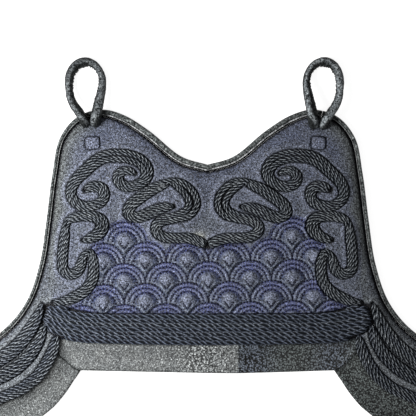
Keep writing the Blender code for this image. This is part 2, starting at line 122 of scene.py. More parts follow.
FAR_PAST = 9.0  # from here on a scale in front has no effect
LINE_AT = 2.4  # the pale line outside a scale, a painted highlight
LINE_WIDTH = 0.75
NOTCH_HALF = 4.2  # half the width of the stitched V in a puff's lower part
NOTCH_TOP = 0.6
NOTCH_TIP = -5.2
NOTCH_DEPTH = 1.3
HIGHLIGHT_AT = (-9.0, 106.5)  # a painted highlight above the join of the two lowest scrolls
HIGHLIGHT_SIZE = (7.5, 5.0)
SCALE_ROWS = ((0, 0, 6), (1, 1, 5), (2, 0, 4), (3, 1, 5), (4, 4, 4))  # row, from, to half pitch

CORD_SUNK = 0.55  # how far the cords reach down past their band's underside
# Cord: distance between rows, length of one full twist, how high up it the painted shade of its
# grooves starts and below what height all of it is painted in shade, as shares of its half height,
# and how deeply dyed the cords are, from the palest to the darkest
HEM_CORD = {"pitch": 4.1, "twist": 20.6, "open": 0.3, "low": 0.3, "dyed": (0.6, 1.0)}
WING_CORD = {"pitch": 2.8, "twist": 16.0, "open": -0.2, "low": 0.6, "dyed": (0.0, 0.6)}
SCROLL_CORD = {"pitch": 2.5, "twist": 14.6, "open": -0.2, "low": 0.6, "dyed": (0.0, 0.4)}


def table(columns, *rows):
    """A small table as one array for each named column."""
    return dict(zip(columns.split(), np.array(rows, float).T))


EDGE = table(
    "u v roll",
    (0, 178.4, 6.4), (26, 186.6, 6.4), (58.6, 212.6, 6.6), (83.5, 228.0, 6.6),
    (105, 233.6, 6.0), (129.8, 226.8, 5.0), (147.8, 205.4, 4.6), (155.4, 170.0, 4.6),
    (161.6, 122.0, 4.6), (168.4, 78.6, 4.6), (182.5, 39.5, 4.6), (208, 10.2, 4.6),
    (247, -10.0, 4.6), (284, -18.2, 4.6), (322, -26.0, 4.6),
)
WING_START_U = 176.0
HEM_EDGE = table("u v", (0, -2.0), (60, -1.6), (108, -0.4), (138, 2.2), (149.2, 3.2))
PAD_EDGE = table(
    "s t", (30, 53.8), (36, 57.0), (44, 60.4), (54, 62.8), (64, 63.4), (78, 61.6), (220, 61.4)
)
FLAP_EDGE = table("s t", (32, 84.8), (38, 85.4), (46, 88.6), (56, 92.0), (66, 93.6), (220, 93.4))
WING_CORNER = 9.0
WING_FLAP_TOP = -9.0
TUCK = 1.0  # how far a flap runs on under what it is sewn to
FLAP_LOWER = table("u v", (-127, -27.8), (-60, -29.2), (30, -30.4), (127, -27.8))
FLAP_SEAM = table(
    "u v",
    (148.8, 2.9), (149.2, -6), (149.6, -9.5), (147, -13.2), (142.8, -17.2), (138.4, -21.4),
    (133.4, -25.4), (127, -27.8),
)
HEM_BAND = table(
    "u v width",
    (-162.6, 29.6, 16), (-157, 27.2, 24), (-149, 22.8, 29.5), (-137, 18.4, 30.8),
    (-122, 15.8, 30), (-106, 14.8, 29), (-60, 13.8, 30), (0, 13.3, 30.4), (60, 13.8, 30),
    (106, 14.8, 29), (122, 15.8, 30), (137, 18.4, 30.8), (149, 22.8, 29.5), (157, 27.2, 24),
    (162.6, 29.6, 16),
)
SCROLLS = {
    "arch_scroll": table(
        "u v width",
        (122.5, 153.0, 5), (114.5, 156.4, 9.2), (106.4, 155.2, 9.8), (103.0, 148.2, 9.4),
        (106.0, 141.4, 9), (113.4, 137.6, 9), (122, 136.4, 9), (130.8, 139.8, 9),
        (136.0, 147.0, 9), (135.4, 156.0, 9.6), (130.0, 164.5, 10.4), (121.8, 172.2, 11),
        (113.8, 179.8, 11.6), (104.5, 185.4, 12), (92, 187.4, 12.4), (78, 186.2, 12.4),
        (66.5, 181.2, 12.2), (60.4, 172.4, 11.6), (62.4, 163.6, 10.2), (69.8, 158.4, 9.4),
        (79, 156.2, 9.2), (87, 159.6, 9.2), (89.6, 166.2, 9), (85.2, 171.6, 8),
        (78, 172.2, 6.4), (71.8, 169.2, 3),
    ),
    "crest_scroll": table(
        "u v width",
        (43.2, 158.8, 7.6), (52.5, 154.8, 10), (61, 149.8, 10.6), (69.5, 143.6, 10.6),
        (76.8, 137.2, 10.4), (78.8, 130.0, 10), (72.6, 125.8, 10), (63.0, 127.6, 10.4),
        (52.6, 132.2, 10.8), (42.6, 135.6, 8.6), (33.8, 136.4, 3),
    ),
    "heart_scroll": table(
        "u v width",
        (38.4, 161.6, 4.6), (28.8, 158.8, 11), (18.8, 150.8, 13.4), (14.2, 139.8, 13.6),
        (18.6, 130.6, 12.4), (30.2, 125.8, 10), (42, 123.4, 9.6), (50.4, 118.4, 9.2),
        (50.8, 111.4, 9), (43.6, 106.2, 9), (31, 104.8, 9), (18, 104.6, 9.4), (8.4, 101.4, 9.2),
        (1.7, 98.0, 6.6),
    ),
    "hook_scroll": table(
        "u v width",
        (124.6, 102.8, 3.4), (117.5, 104.6, 7.8), (110.0, 108.4, 10.8), (105.2, 114.8, 12),
        (105.8, 121.4, 11.6), (111.4, 125.8, 10.2), (121, 126.9, 9), (131, 125.8, 8.4),
        (138.2, 122.8, 6),
    ),
    "side_scroll": table(
        "u v width",
        (141.4, 116.6, 5.6), (142.8, 106.0, 8.4), (144.2, 94.0, 8.8), (145.0, 81.4, 9),
        (143.4, 72.6, 9), (136.2, 68.6, 9), (129.2, 72.2, 9), (125.8, 79.6, 8.4),
        (123.6, 87.0, 5.6),
    ),
    "foot_scroll": table(
        "u v width",
        (117.4, 91.0, 5.4), (114.4, 83.6, 8.4), (113.6, 74.0, 9.4), (114.6, 64.6, 9.6),
        (119.0, 56.0, 9.8), (126.6, 49.2, 10), (136, 44.5, 9.6), (146, 41.2, 6.6),
        (154, 40.4, 4),
    ),
}
WING_BANDS = {
    "outer_cord": table(
        "s t width",
        (8, 15.2, 2.5), (14, 16.3, 6), (21, 17.6, 9.6), (30, 19.2, 11.4), (42, 21.0, 12.6),
        (56, 22.3, 13), (200, 22.3, 12.6),
    ),
    "middle_cord": table(
        "s t width",
        (22.4, 27.6, 3), (27.6, 30.4, 7.4), (34, 33.4, 9.6), (46, 36.8, 11.6), (60, 38.5, 12.8),
        (76, 38.2, 11.8), (200, 38.0, 11.6),
    ),
    "inner_cord": table(
        "s t width",
        (23.4, 44.2, 3), (28, 47.0, 8.2), (34, 50.4, 10.4), (42, 54.2, 10.8), (52, 57.8, 11.2),
        (64, 59.0, 10.6), (78, 57.2, 9.8), (200, 56.6, 9.6),
    ),
}
WING_BAND_END = 6.0
LOOP_FOOT = {"left": (-117.4, 219.5), "right": (111.6, 217.5)}
LOOP_LEAN = {"left": -6.0, "right": 5.3}
LOOP_REACH = {"left": 1.0, "right": 1.035}  # how far each loop reaches, as a share of its shape
LOOP_MIDDLE = 36.0  # up the loop, where its inner side faces
LOOP_AROUND = 30  # points round its roll
GATHER_PITCH = 4.2  # from one gathered fold to the next
LOOP_SHAPE = table(  # strands away from the body's middle and next to it; clear is under them
    "up outer outer_radius inner inner_radius clear",
    (0, 4.8, 4.2, 5.3, 4.8, 1.0), (1.2, 5.1, 4.5, 5.7, 5.2, 4.6), (7, 7.1, 4.7, 7.1, 5.5, 8.4),
    (13, 10.0, 4.7, 8.7, 5.4, 7.9), (20, 14.0, 4.5, 10.9, 5.2, 6.4),
    (28, 16.7, 4.2, 13.5, 4.8, 5.2), (36, 17.1, 4.1, 15.7, 4.3, 3.9),
    (44, 16.5, 4.5, 16.5, 3.9, 2.4), (52, 14.0, 4.9, 14.4, 3.8, 0.9),
    (59, 8.2, 5.1, 8.6, 4.4, 0.3), (61.6, 0, 5.2, 0, 5.2, 0.2),
)
TAB_SIZE = (14.0, 12.6)
TAB_CORNER = 3.0
TAB_POINTS = 26  # along each side of its mesh
TAB_V = 200.0
TAB_U = {"left": -115.0, "right": 111.0}
TAB_TURN = {"left": 5.0, "right": -2.0}  # degrees
SIDES = ("left", "right")
# How dark each flap is made all over with painted shade, the right one most, away from the lamp;
# the middle one is painted darker only past its crease, where it turns from the lamp
FLAP_SHADE = {"left_wing_flap": 0.2, "middle_flap": 0.0, "right_wing_flap": 0.9}

# Lamp, sky, floor and camera; the lamp's places and size are in metres
LAMP_PLACE = (-0.44, 0.02, 0.38)
LAMP_AIM = (0.0, 0.02, 0.0)
LAMP_SIZE = 0.34
LAMP_POWER = 8.0
SKY_STRENGTH = 0.32
CAMERA_AT = (0.5, 135.0)  # u and v under it
CAMERA_HEIGHT = 2600.0
CAMERA_FIELD = 416.0  # mm across the picture
FLOOR_HALF = 4.0  # metres from the middle to a side
FLOOR_Z = -0.2

# Bands whose cords run on from one to the next, each with the way it is followed
RUNS = {
    "arch": (("arch_scroll", 1),),
    "crest_and_heart": (("crest_scroll", -1), ("heart_scroll", 1)),
    "hook_and_foot": (("hook_scroll", 1), ("side_scroll", 1), ("foot_scroll", 1)),
}


# ---- curves on the pattern plane


def smooth(columns, step):
    """A smooth curve through the table's rows, resampled about step mm apart. The first two
    columns are its place; the others are carried along."""
    knots = np.column_stack(list(columns.values()))
    ends = np.vstack([2 * knots[0] - knots[1], knots, 2 * knots[-1] - knots[-2]])
    gaps = np.sqrt(np.linalg.norm(np.diff(ends[:, :2], axis=0), axis=1))  # centripetal
    fine = []
    for i in range(1, len(ends) - 2):
        before, start, end, after = ends[i - 1 : i + 3]
        g0, g1, g2 = gaps[i - 1 : i + 2]
        leaving = (start - before) / g0 - (end - before) / (g0 + g1) + (end - start) / g1
        arriving = (end - start) / g1 - (after - start) / (g1 + g2) + (after - end) / g2
        x = np.linspace(0, 1, 24, endpoint=False)[:, None]
        fine.append(
            (2 * x**3 - 3 * x**2 + 1) * start
            + (x**3 - 2 * x**2 + x) * leaving * g1
            + (-2 * x**3 + 3 * x**2) * end
            + (x**3 - x**2) * arriving * g1
        )
    return resampled(np.vstack([*fine, knots[-1:]]), step)


def lengths(path):
    """Distance along the path to each of its points."""
    return np.concatenate([[0], np.cumsum(np.linalg.norm(np.diff(path[:, :2], axis=0), axis=1))])


def resampled(path, step):
    """The same path with points evenly spaced, about step mm apart."""
    along = lengths(path)
    wanted = np.linspace(0, along[-1], max(2, round(along[-1] / step) + 1))
    return np.column_stack([np.interp(wanted, along, column) for column in path.T])


def inward(path):
    """Unit vectors across the path, to the right of its direction: into the garment on EDGE."""
    along = np.gradient(path[:, :2], axis=0)
    along /= np.linalg.norm(along, axis=1)[:, None]
    return np.column_stack([along[:, 1], -along[:, 0]])


def mirrored(path):
    """The path's mirror image in the centre line, run backwards so that it turns the same way."""
    image = np.array(path, float)[::-1].copy()
    image[:, 0] *= -1
    return image


EDGE_PATH = smooth(EDGE, 1.0)
EDGE_LENGTHS = lengths(EDGE_PATH)
WING_FROM = EDGE_LENGTHS[np.argmin(np.abs(EDGE_PATH[:, 0] - WING_START_U))]
WING_LENGTH = EDGE_LENGTHS[-1] - WING_FROM
V_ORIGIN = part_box("neck_binding")[1].y / MM - EDGE_PATH[:, 1].max()  # row frame's y of v = 0


def along_edge(distance, columns):
    """The columns' values at these distances along the edge from the neck."""
    return np.column_stack([np.interp(distance, EDGE_LENGTHS, column) for column in columns])


def on_edge(distance, depth):
    """Points at these distances along the edge from the neck, and this deep inside it."""
    into = np.asarray(depth, float).reshape(-1, 1) * along_edge(distance, inward(EDGE_PATH).T)
    return along_edge(distance, EDGE_PATH[:, :2].T) + into


def edge_between(first, last):
    """The stretch of the edge between two distances from the neck."""
    return along_edge(np.linspace(first, last, round(last - first)), EDGE_PATH.T)


def on_wing(s, t):
    """Points of the wing from its own measures, s along its edge and t in from it."""
    return on_edge(WING_FROM + np.asarray(s, float), t)


def along_wing(s, line, moved=0.0):
    """The same for a line of the wing that a table gives, moved in."""
    return on_wing(s, np.interp(s, line["s"], line["t"]) + moved)


def bound_depth(distance):
    """How deep the padded leather starts inside the edge: past the roll, its welt and the
    groove beside that."""
    return BOUND_SHARE * np.interp(distance, EDGE_LENGTHS, EDGE_PATH[:, 2])


def rounded_corner(before, corner, after, radius, steps=6):
    """An arc in place of a corner, tangent to its two sides."""
    before, corner, after = (np.array(p, float) for p in (before, corner, after))
    a = (before - corner) / np.linalg.norm(before - corner)
    b = (after - corner) / np.linalg.norm(after - corner)
    x = np.linspace(0, 1, steps + 1)[:, None]
    return corner + radius * ((1 - x) ** 2 * a + x**2 * b)


def distance_to(points, path):
    """Distance from each point to the nearest stretch of the path."""
    start, run = path[:-1, :2], np.diff(path[:, :2], axis=0)
    nearest = np.full(len(points), np.inf)
    for a, r in zip(start, run):
        x = np.clip((points - a) @ r / (r @ r), 0, 1)
        nearest = np.minimum(nearest, ((points - a - x[:, None] * r) ** 2).sum(axis=1))
    return np.sqrt(nearest)


def distance_to_edge(points, outline):
    """The same for a closed outline."""
    return distance_to(points, np.vstack([outline, outline[:1]]))


def signed_area(outline):
    """Area inside the outline, negative where it runs clockwise."""
    u, v = outline.T
    return np.sum(u * np.roll(v, -1) - v * np.roll(u, -1)) / 2


def swell(x):
    """A smooth step from 0 to 1 as x goes from 0 to 1."""
    x = np.clip(x, 0, 1)
    return x * x * (3 - 2 * x)


def fade(x, reach, power=2):
    """1 where x is 0, and next to nothing where it is twice the reach."""
    return np.exp(-((x / reach) ** power))


def turned(across, up, degrees):
    """Two measures at right angles, turned anticlockwise."""
    turn = math.radians(degrees)
    return (
        across * math.cos(turn) - up * math.sin(turn),
        across * math.sin(turn) + up * math.cos(turn),
    )


def wander(points, size, seed=0.0):
    """Smooth noise from -1 to 1 over the pattern plane, with features about size mm wide."""
    at = np.column_stack([points[:, :2] / size, np.full(len(points), seed)])
    return np.array([noise.noise(Vector(p)) for p in at])


# ---- outlines


def wing_stations(step):
    """Places along the wing where its padding and flap have their corners."""
    first = np.arange(30, 47, min(step, 3.0))
    return np.concatenate([first, np.arange(47, WING_LENGTH - WING_CORNER - 2, step)])


def pad_edge(extra, step):
    """Inner edge of the wing's padding from the hem corner to the wing's end, moved in."""
    return along_wing(wing_stations(step), PAD_EDGE, extra)


def padded_outline(step):
    """The padded leather's bound edge from the neck's middle, and its free edge round to the
    hem's middle, as two paths."""
    last = EDGE_LENGTHS[-1]
    distance = np.linspace(0, last - WING_CORNER, round((last - WING_CORNER) / step))
    rim = on_edge(distance, bound_depth(distance))
    depth = PAD_EDGE["t"][-1]
    first = bound_depth(last)
    outer = on_edge([last - WING_CORNER, last, last], [first, first, first + WING_CORNER])
    inner = on_edge([last, last, last - WING_CORNER], [depth - WING_CORNER, depth, depth])
    end = [rounded_corner(*outer, WING_CORNER)[1:], rounded_corner(*inner, WING_CORNER)]
    edge = resampled(np.vstack([*end, pad_edge(0, step)[::-1]]), step)
    return rim, np.vstack([edge, smooth(HEM_EDGE, step)[::-1]])


def both_halves(half):
    """A closed outline from the half that runs from the centre line back to it."""
    return np.vstack([half, mirrored(half)[1:-1]])


# ---- the leather's relief


def band_paths():
    """Centre lines of all the couched cord, by band or run of bands: u, v and width."""
    paths = {"hem_band": smooth(HEM_BAND, 1.0)}
    right = {}
    for name, run in RUNS.items():
        rows = [np.array(list(SCROLLS[scroll].values()))[:, ::way] for scroll, way in run]
        right[name] = smooth(dict(zip("uvw", np.hstack(rows))), 1.0)
    for name, line in WING_BANDS.items():
        s = np.arange(line["s"][0], WING_LENGTH - WING_BAND_END, 1.5)
        width = np.interp(s, line["s"], line["width"])
        right[name] = resampled(np.column_stack([along_wing(s, line), width]), 1.0)
    for name, path in right.items():
        paths[f"right_{name}"] = path
        paths[f"left_{name}"] = mirrored(path)
    return paths


BANDS = band_paths()
RIM_HALF, FREE_HALF = padded_outline(3.0)
RIM = np.vstack([mirrored(RIM_HALF)[:-1], RIM_HALF])
FREE = np.vstack([FREE_HALF, mirrored(FREE_HALF)[1:]])


def clear_of_bands(points):
    """Distance from each point to the nearest band of cord, negative under it."""
    clear = np.full(len(points), np.inf)
    for path in BANDS.values():
        for u, v, width in path[::2]:
            away = np.hypot(points[:, 0] - u, points[:, 1] - v) - width / 2
            clear = np.minimum(clear, away)
    return clear


def scale_centres():
    """Centre of each wave scale, the front row first."""
    centres = []
    for row, first, last in SCALE_ROWS:
        for half in range(first, last + 1, 2):
            for side in (-1, 1) if half else (1,):
                u = FIELD_SHIFT + side * half * SCALE_PITCH / 2
                centres.append((u, LOWEST_SCALE_V + row * SCALE_ROW + FIELD_RISE * u))
    return np.array(centres)


SCALES = scale_centres()


def in_field(points):
    """Which points lie between the two foot scrolls, where the waves are."""
    foot = SCROLLS["foot_scroll"]
    order = np.argsort(foot["v"])
    side = np.interp(points[:, 1], foot["v"][order], foot["u"][order])
    return np.abs(points[:, 0]) < side


def notch(off):
    """Distance from points, given from a scale's centre, to the V stitched in its puff."""
    tip = np.array([0, NOTCH_TIP])
    arms = [np.array([[side * NOTCH_HALF, NOTCH_TOP], tip]) for side in (-1, 1)]
    return np.minimum(*(distance_to(off, arm) for arm in arms))


def bulge(off, middle, size):
    """From 0 at the edge of a rounded bulge to 1 at its top."""
    away = np.linalg.norm((off - middle) / size, axis=1)
    return np.clip(1 - away**2, 0, 1)


def wave_relief(points):
    """Height of the quilting, and its colouring: how far a point belongs to the stitched rings,
    whose ground is dark, painted shade in their grooves and round the puffs' sides, how much it is
    on one of their ridges, which are painted as highlights, how pale a puff's top is painted as a
    highlight, and how blue it is dyed."""
    relief, ring, ridge, pale, blue = np.zeros((5, len(points)))
    free = in_field(points)
    edge, middle, inner = STITCH_RADII
    past = np.full(len(points), FAR_PAST)  # how far outside the scales in front
    for centre in SCALES:
        off = points - centre
        radius = np.linalg.norm(off, axis=1)
        mine = free & (radius < edge)
        r, off, after = radius[mine], off[mine], past[mine]
        crest = np.abs(np.sin((r - inner) * np.pi / (middle - inner)))
        top, low, wide = (bulge(off, *PUFF_BULGES[name]) for name in ("top", "low", "wide"))
        puff = RING_DEPTH + PUFF_RISE * np.maximum(0.62 * wide, np.maximum(top, 0.7 * low)) ** 0.9
        stitched = notch(off)
        puff -= NOTCH_DEPTH * fade(stitched, 1.0)
        seam = swell(after / LINE_AT)
        relief[mine] = -RING_DEPTH + np.where(r > inner, RING_DEPTH * crest**0.75, puff) * seam
        blue[mine] = fade(np.arctan2(np.abs(off[:, 0]), off[:, 1]), 1.0)
        beside = fade(stitched - 2.5, 0.8)
        beside *= swell((NOTCH_TOP + 1 - off[:, 1]) / 2) * (off[:, 1] > -10)
        line = fade(after - LINE_AT, LINE_WIDTH)
        # the rings' dark ground reaches over the puff's sides as painted shade; ridge is a painted
        # highlight on the ridges, beside the V and on the line outside; pale is a painted highlight
        # on the puff's top
        rings = np.where(r > inner, 1, 1 - 1.2 * top**0.6).clip(0, 1)
        ring[mine] = np.maximum.reduce([rings, fade(after, 1.3), line])
        ridge[mine] = np.maximum(np.where(r > inner, crest**3.2, beside) * seam, 0.6 * line)
        pale[mine] = np.where(r > inner, 0, top**0.8) * seam
        free &= ~mine
        past = np.minimum(past, np.clip(radius - edge, 0, None))
    rest = free & (past < FAR_PAST)
    after = past[rest]
    relief[rest] = -RING_DEPTH * (1 - swell(after / 3.5))
    line = fade(after - LINE_AT, LINE_WIDTH)
    ring[rest] = np.maximum(fade(after, 1.5, 4), line)
    ridge[rest] = 0.6 * line
    blue[rest] = 0.8
    return relief, ring, ridge, np.clip(pale, 0, 1), blue


def tab_distance(points, side):
    """Distance outside a loop tab's rounded square, negative inside it."""
    off = (points - (TAB_U[side], TAB_V)).T
    over = np.abs(turned(*off, -TAB_TURN[side])).T - np.array(TAB_SIZE) / 2 + TAB_CORNER
    return np.linalg.norm(np.clip(over, 0, None), axis=1) - TAB_CORNER


def loop_place(side, across, up):
    """Where a point of a shoulder loop lies, from its own measures across and up it."""
    off_u, off_v = turned(across, up * LOOP_REACH[side], -LOOP_LEAN[side])
    return LOOP_FOOT[side][0] + off_u, LOOP_FOOT[side][1] + off_v


def face(points):
    """Height of the padded leather in mm, and its colouring: that of the waves, with a painted
    highlight beside the bands, how worn it is near its bound edge, how faded to grey, where a
    highlight is painted above the lowest scrolls' join, and the painted shade beside what is sewn
    on and in the groove along the bound edge."""
    rim = distance_to(points, RIM)
    free = distance_to(points, FREE)
    clear = clear_of_bands(points)
    beside = np.clip(clear, 0, None)
    height = PAD_TOP - sum(dip * np.clip(1 - rim / reach, 0, 1) ** 2 for dip, reach in RIM_DIPS)
    height -= FREE_DROP * (1 - np.sqrt(1 - np.clip(1 - free / FREE_ROUND, 0, 1) ** 2))
    height += 1.7 * swell(beside / 1.8) * fade(beside, 5)  # pushed up beside the bands
    height -= 0.4 + 1.6 * fade(beside, 0.9)  # and drawn down at their edges
    waves, *colouring = wave_relief(points)
    # painted highlight on the leather just beside the bands
    colouring[2] = np.maximum(colouring[2], 0.5 * fade(beside - 3, 3))
    # a highlight painted above the lowest scrolls' join
    rubbed = fade(np.linalg.norm((points - HIGHLIGHT_AT) / HIGHLIGHT_SIZE, axis=1), 1)
    height += waves * swell(clear / 1.5)
    height += 0.45 * wander(points, 24, 2.0) * swell(rim / 10) + 0.15 * wander(points, 7, 5.0)
    # painted shade at the bands' edges and in the groove along the bound edge, and below round each
    # tab
    shade = np.maximum(fade(beside, 1.1), fade(rim, 1.9, 4) + 0.2 * fade(rim, 4.5))
    for side in SIDES:
        away = np.clip(tab_distance(points, side), 0, None)
        height -= 1.5 * fade(away, 1.3)
        shade = np.maximum(shade, fade(away, 0.8))
        for strand in ("outer", "inner"):
            foot = loop_place(side, *strand_start(side, strand))
            height -= 2.2 * fade(np.linalg.norm(points - foot, axis=1), 5.6)
    out = np.abs(points[:, 0])
    worn = (1 - swell(rim / 22)) * swell((out - 95) / 25) * (1 - swell((out - 152) / 10))
    faded = np.maximum(swell((out - 146) / 12), 0.7 * swell((175 - points[:, 1]) / 55))
    faded = np.maximum(faded, 0.8 * fade(beside, 6))
    return height, *colouring, worn, faded, rubbed, np.clip(shade, 0, 1)


def strand_start(side, strand):
    """Foot of one strand of a shoulder loop, across and up it."""
    outward = -1 if side == "left" else 1
    return (outward if strand == "outer" else -outward) * LOOP_SHAPE[strand][0], 0.0


# ---- meshes


def new_object(name, data):
    """An object in the scene from its mesh, lamp or camera."""
    made = bpy.data.objects.new(name, data)
    bpy.context.scene.collection.objects.link(made)
    return made


def add_piece(name, points, faces, finishes, slot, which=None):
    """A piece of the object from points in mm on the pattern plane, riding on the body. which
    gives each face's finish, where it has more than one."""
    mesh = bpy.data.meshes.new(name)
    placed = np.asarray(points, float) + (0, V_ORIGIN, 0)
    mesh.from_pydata((placed * MM).tolist(), [], [tuple(f) for f in faces])
    for finish in finishes:
        mesh.materials.append(finish)
    if which is not None:
        mesh.polygons.foreach_set("material_index", np.asarray(which, np.int32))
    mesh.shade_smooth()
    mesh.update()
    piece = new_object(name, mesh)
    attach(piece, "root")
    return piece


def paint(piece, **values):
    """Numbers for each of the piece's points, which its material reads by name."""
    for name, numbers in values.items():
        attribute = piece.data.attributes.new(name, "FLOAT", "POINT")
        attribute.data.foreach_set("value", np.asarray(numbers, np.float32))


def paint_upper(piece, below, **values):
    """The same for a closed sheet's upper side. The points below it get nothing."""
    paint(piece, **{key: np.concatenate([part, np.zeros(below)]) for key, part in values.items()})


def inside(points, outline):
    """Which points lie inside the outline."""
    x, y = points.T
    crossed = np.zeros(len(x), int)
    for (ax, ay), (bx, by) in zip(outline, np.roll(outline, -1, axis=0)):
        spans = (ay > y) != (by > y)
        at = ax + (y - ay) * (bx - ax) / np.where(by == ay, np.inf, by - ay)
        crossed += spans & (x < at)
    return crossed % 2 == 1


def staggered(outline, spacing):
    """A staggered grid of points over the outline, clear of its edge."""
    low, high = outline.min(axis=0), outline.max(axis=0)
    v = np.arange(low[1], high[1], spacing * math.sqrt(3) / 2)
    u = np.arange(low[0], high[0], spacing)
    grid = np.stack(np.meshgrid(u, v), axis=-1)
    grid[1::2, :, 0] += spacing / 2
    grid = grid.reshape(-1, 2)
    grid = grid[inside(grid, outline)]
    return grid[distance_to_edge(grid, outline) > 0.55 * spacing]


def triangulated(outline, inner):
    """Triangles that fill the outline, with the inner points among their corners."""
    points = [Vector(p) for p in np.vstack([outline, inner])]
    corners, _, faces, *_ = delaunay_2d_cdt(points, [], [list(range(len(outline)))], 1, 1e-5)
    corners = np.array([tuple(c) for c in corners])
    faces = np.array(faces)
    a, b, c = (corners[faces[:, k]] for k in range(3))
    turn = (b - a)[:, 0] * (c - a)[:, 1] - (b - a)[:, 1] * (c - a)[:, 0]
    faces[turn < 0] = faces[turn < 0][:, ::-1]
    return corners, faces


def closed(name, upper, faces, lower, under, ring, finish, slot):
    """A closed piece from its two sides, each with its faces. Both have the same ring of points
    round their edges, joined by walls."""
    shift = len(upper)
    after = np.roll(ring, -1)
    walls = np.column_stack([ring, ring + shift, after + shift, after])
    faces = [*faces.tolist(), *(under[:, ::-1] + shift).tolist(), *walls.tolist()]
    return add_piece(name, np.vstack([upper, lower]), faces, [finish], slot)


def closed_sheet(name, outline, inner, top, bottom, finish, slot):
    """A closed sheet from its outline: top and bottom give heights over the pattern plane, and
    the inner points are the upper side's. Returns the piece, its upper points and the number
    of points below them."""
    if signed_area(outline) < 0:
        outline = outline[::-1]
    upper, faces = triangulated(outline, inner)
    lower, under = triangulated(outline, staggered(outline, UNDER_SPACING))
    count = len(outline)
    high, low = top(upper), bottom(lower)
    high[:count] = np.maximum(high[:count] - EDGE_ROUND, low[:count] + 0.3)
    sides = (np.column_stack([upper, high]), faces, np.column_stack([lower, low]), under)
    return closed(name, *sides, np.arange(count), finish, slot), upper, len(lower)


def tube_faces(count, around):
    """Faces of a tube of count rings with this many points around, closed at its ends."""
    ring = np.arange(around)
    after = np.roll(ring, -1)
    start = np.arange(count - 1)[:, None] * around
    corners = (ring, after, around + after, around + ring)
    quads = np.stack([start + corner for corner in corners], axis=-1)
    ends = [ring[::-1].tolist(), (ring + (count - 1) * around).tolist()]
    return quads.reshape(-1, 4).tolist() + ends


def rings_along(path, across, off, z):
    """Rings of points round a path from their distances across it and their heights."""
    at = path[:, None, :2] + off[..., None] * across[:, None, :]
    return np.concatenate([at, z[..., None]], axis=-1)


class Heap:
    """Many small closed shapes gathered into one mesh."""

    def __init__(self):
        self.points, self.faces, self.which = [], [], []
        self.painted = {}
        self.count = 0

    def add(self, rings, finish=0, flip=False, **values):
        """A tube through the rings, an array of ring, point and coordinate."""
        made = tube_faces(*rings.shape[:2])
        for face_corners in made:
            corners = [self.count + i for i in face_corners]
            self.faces.append(corners[::-1] if flip else corners)
        self.which += [finish] * len(made)
        self.points.append(rings.reshape(-1, 3))
        self.count += rings.shape[0] * rings.shape[1]
        for name, numbers in values.items():
            numbers = np.broadcast_to(numbers, rings.shape[:2]).reshape(-1)
            self.painted.setdefault(name, []).append(numbers)

    def piece(self, name, finishes, slot):
        """The heap as one piece, painted with the numbers given for its shapes."""
        made = add_piece(name, np.vstack(self.points), self.faces, finishes, slot, self.which)
        paint(made, **{key: np.concatenate(parts) for key, parts in self.painted.items()})
        return made


# ---- materials


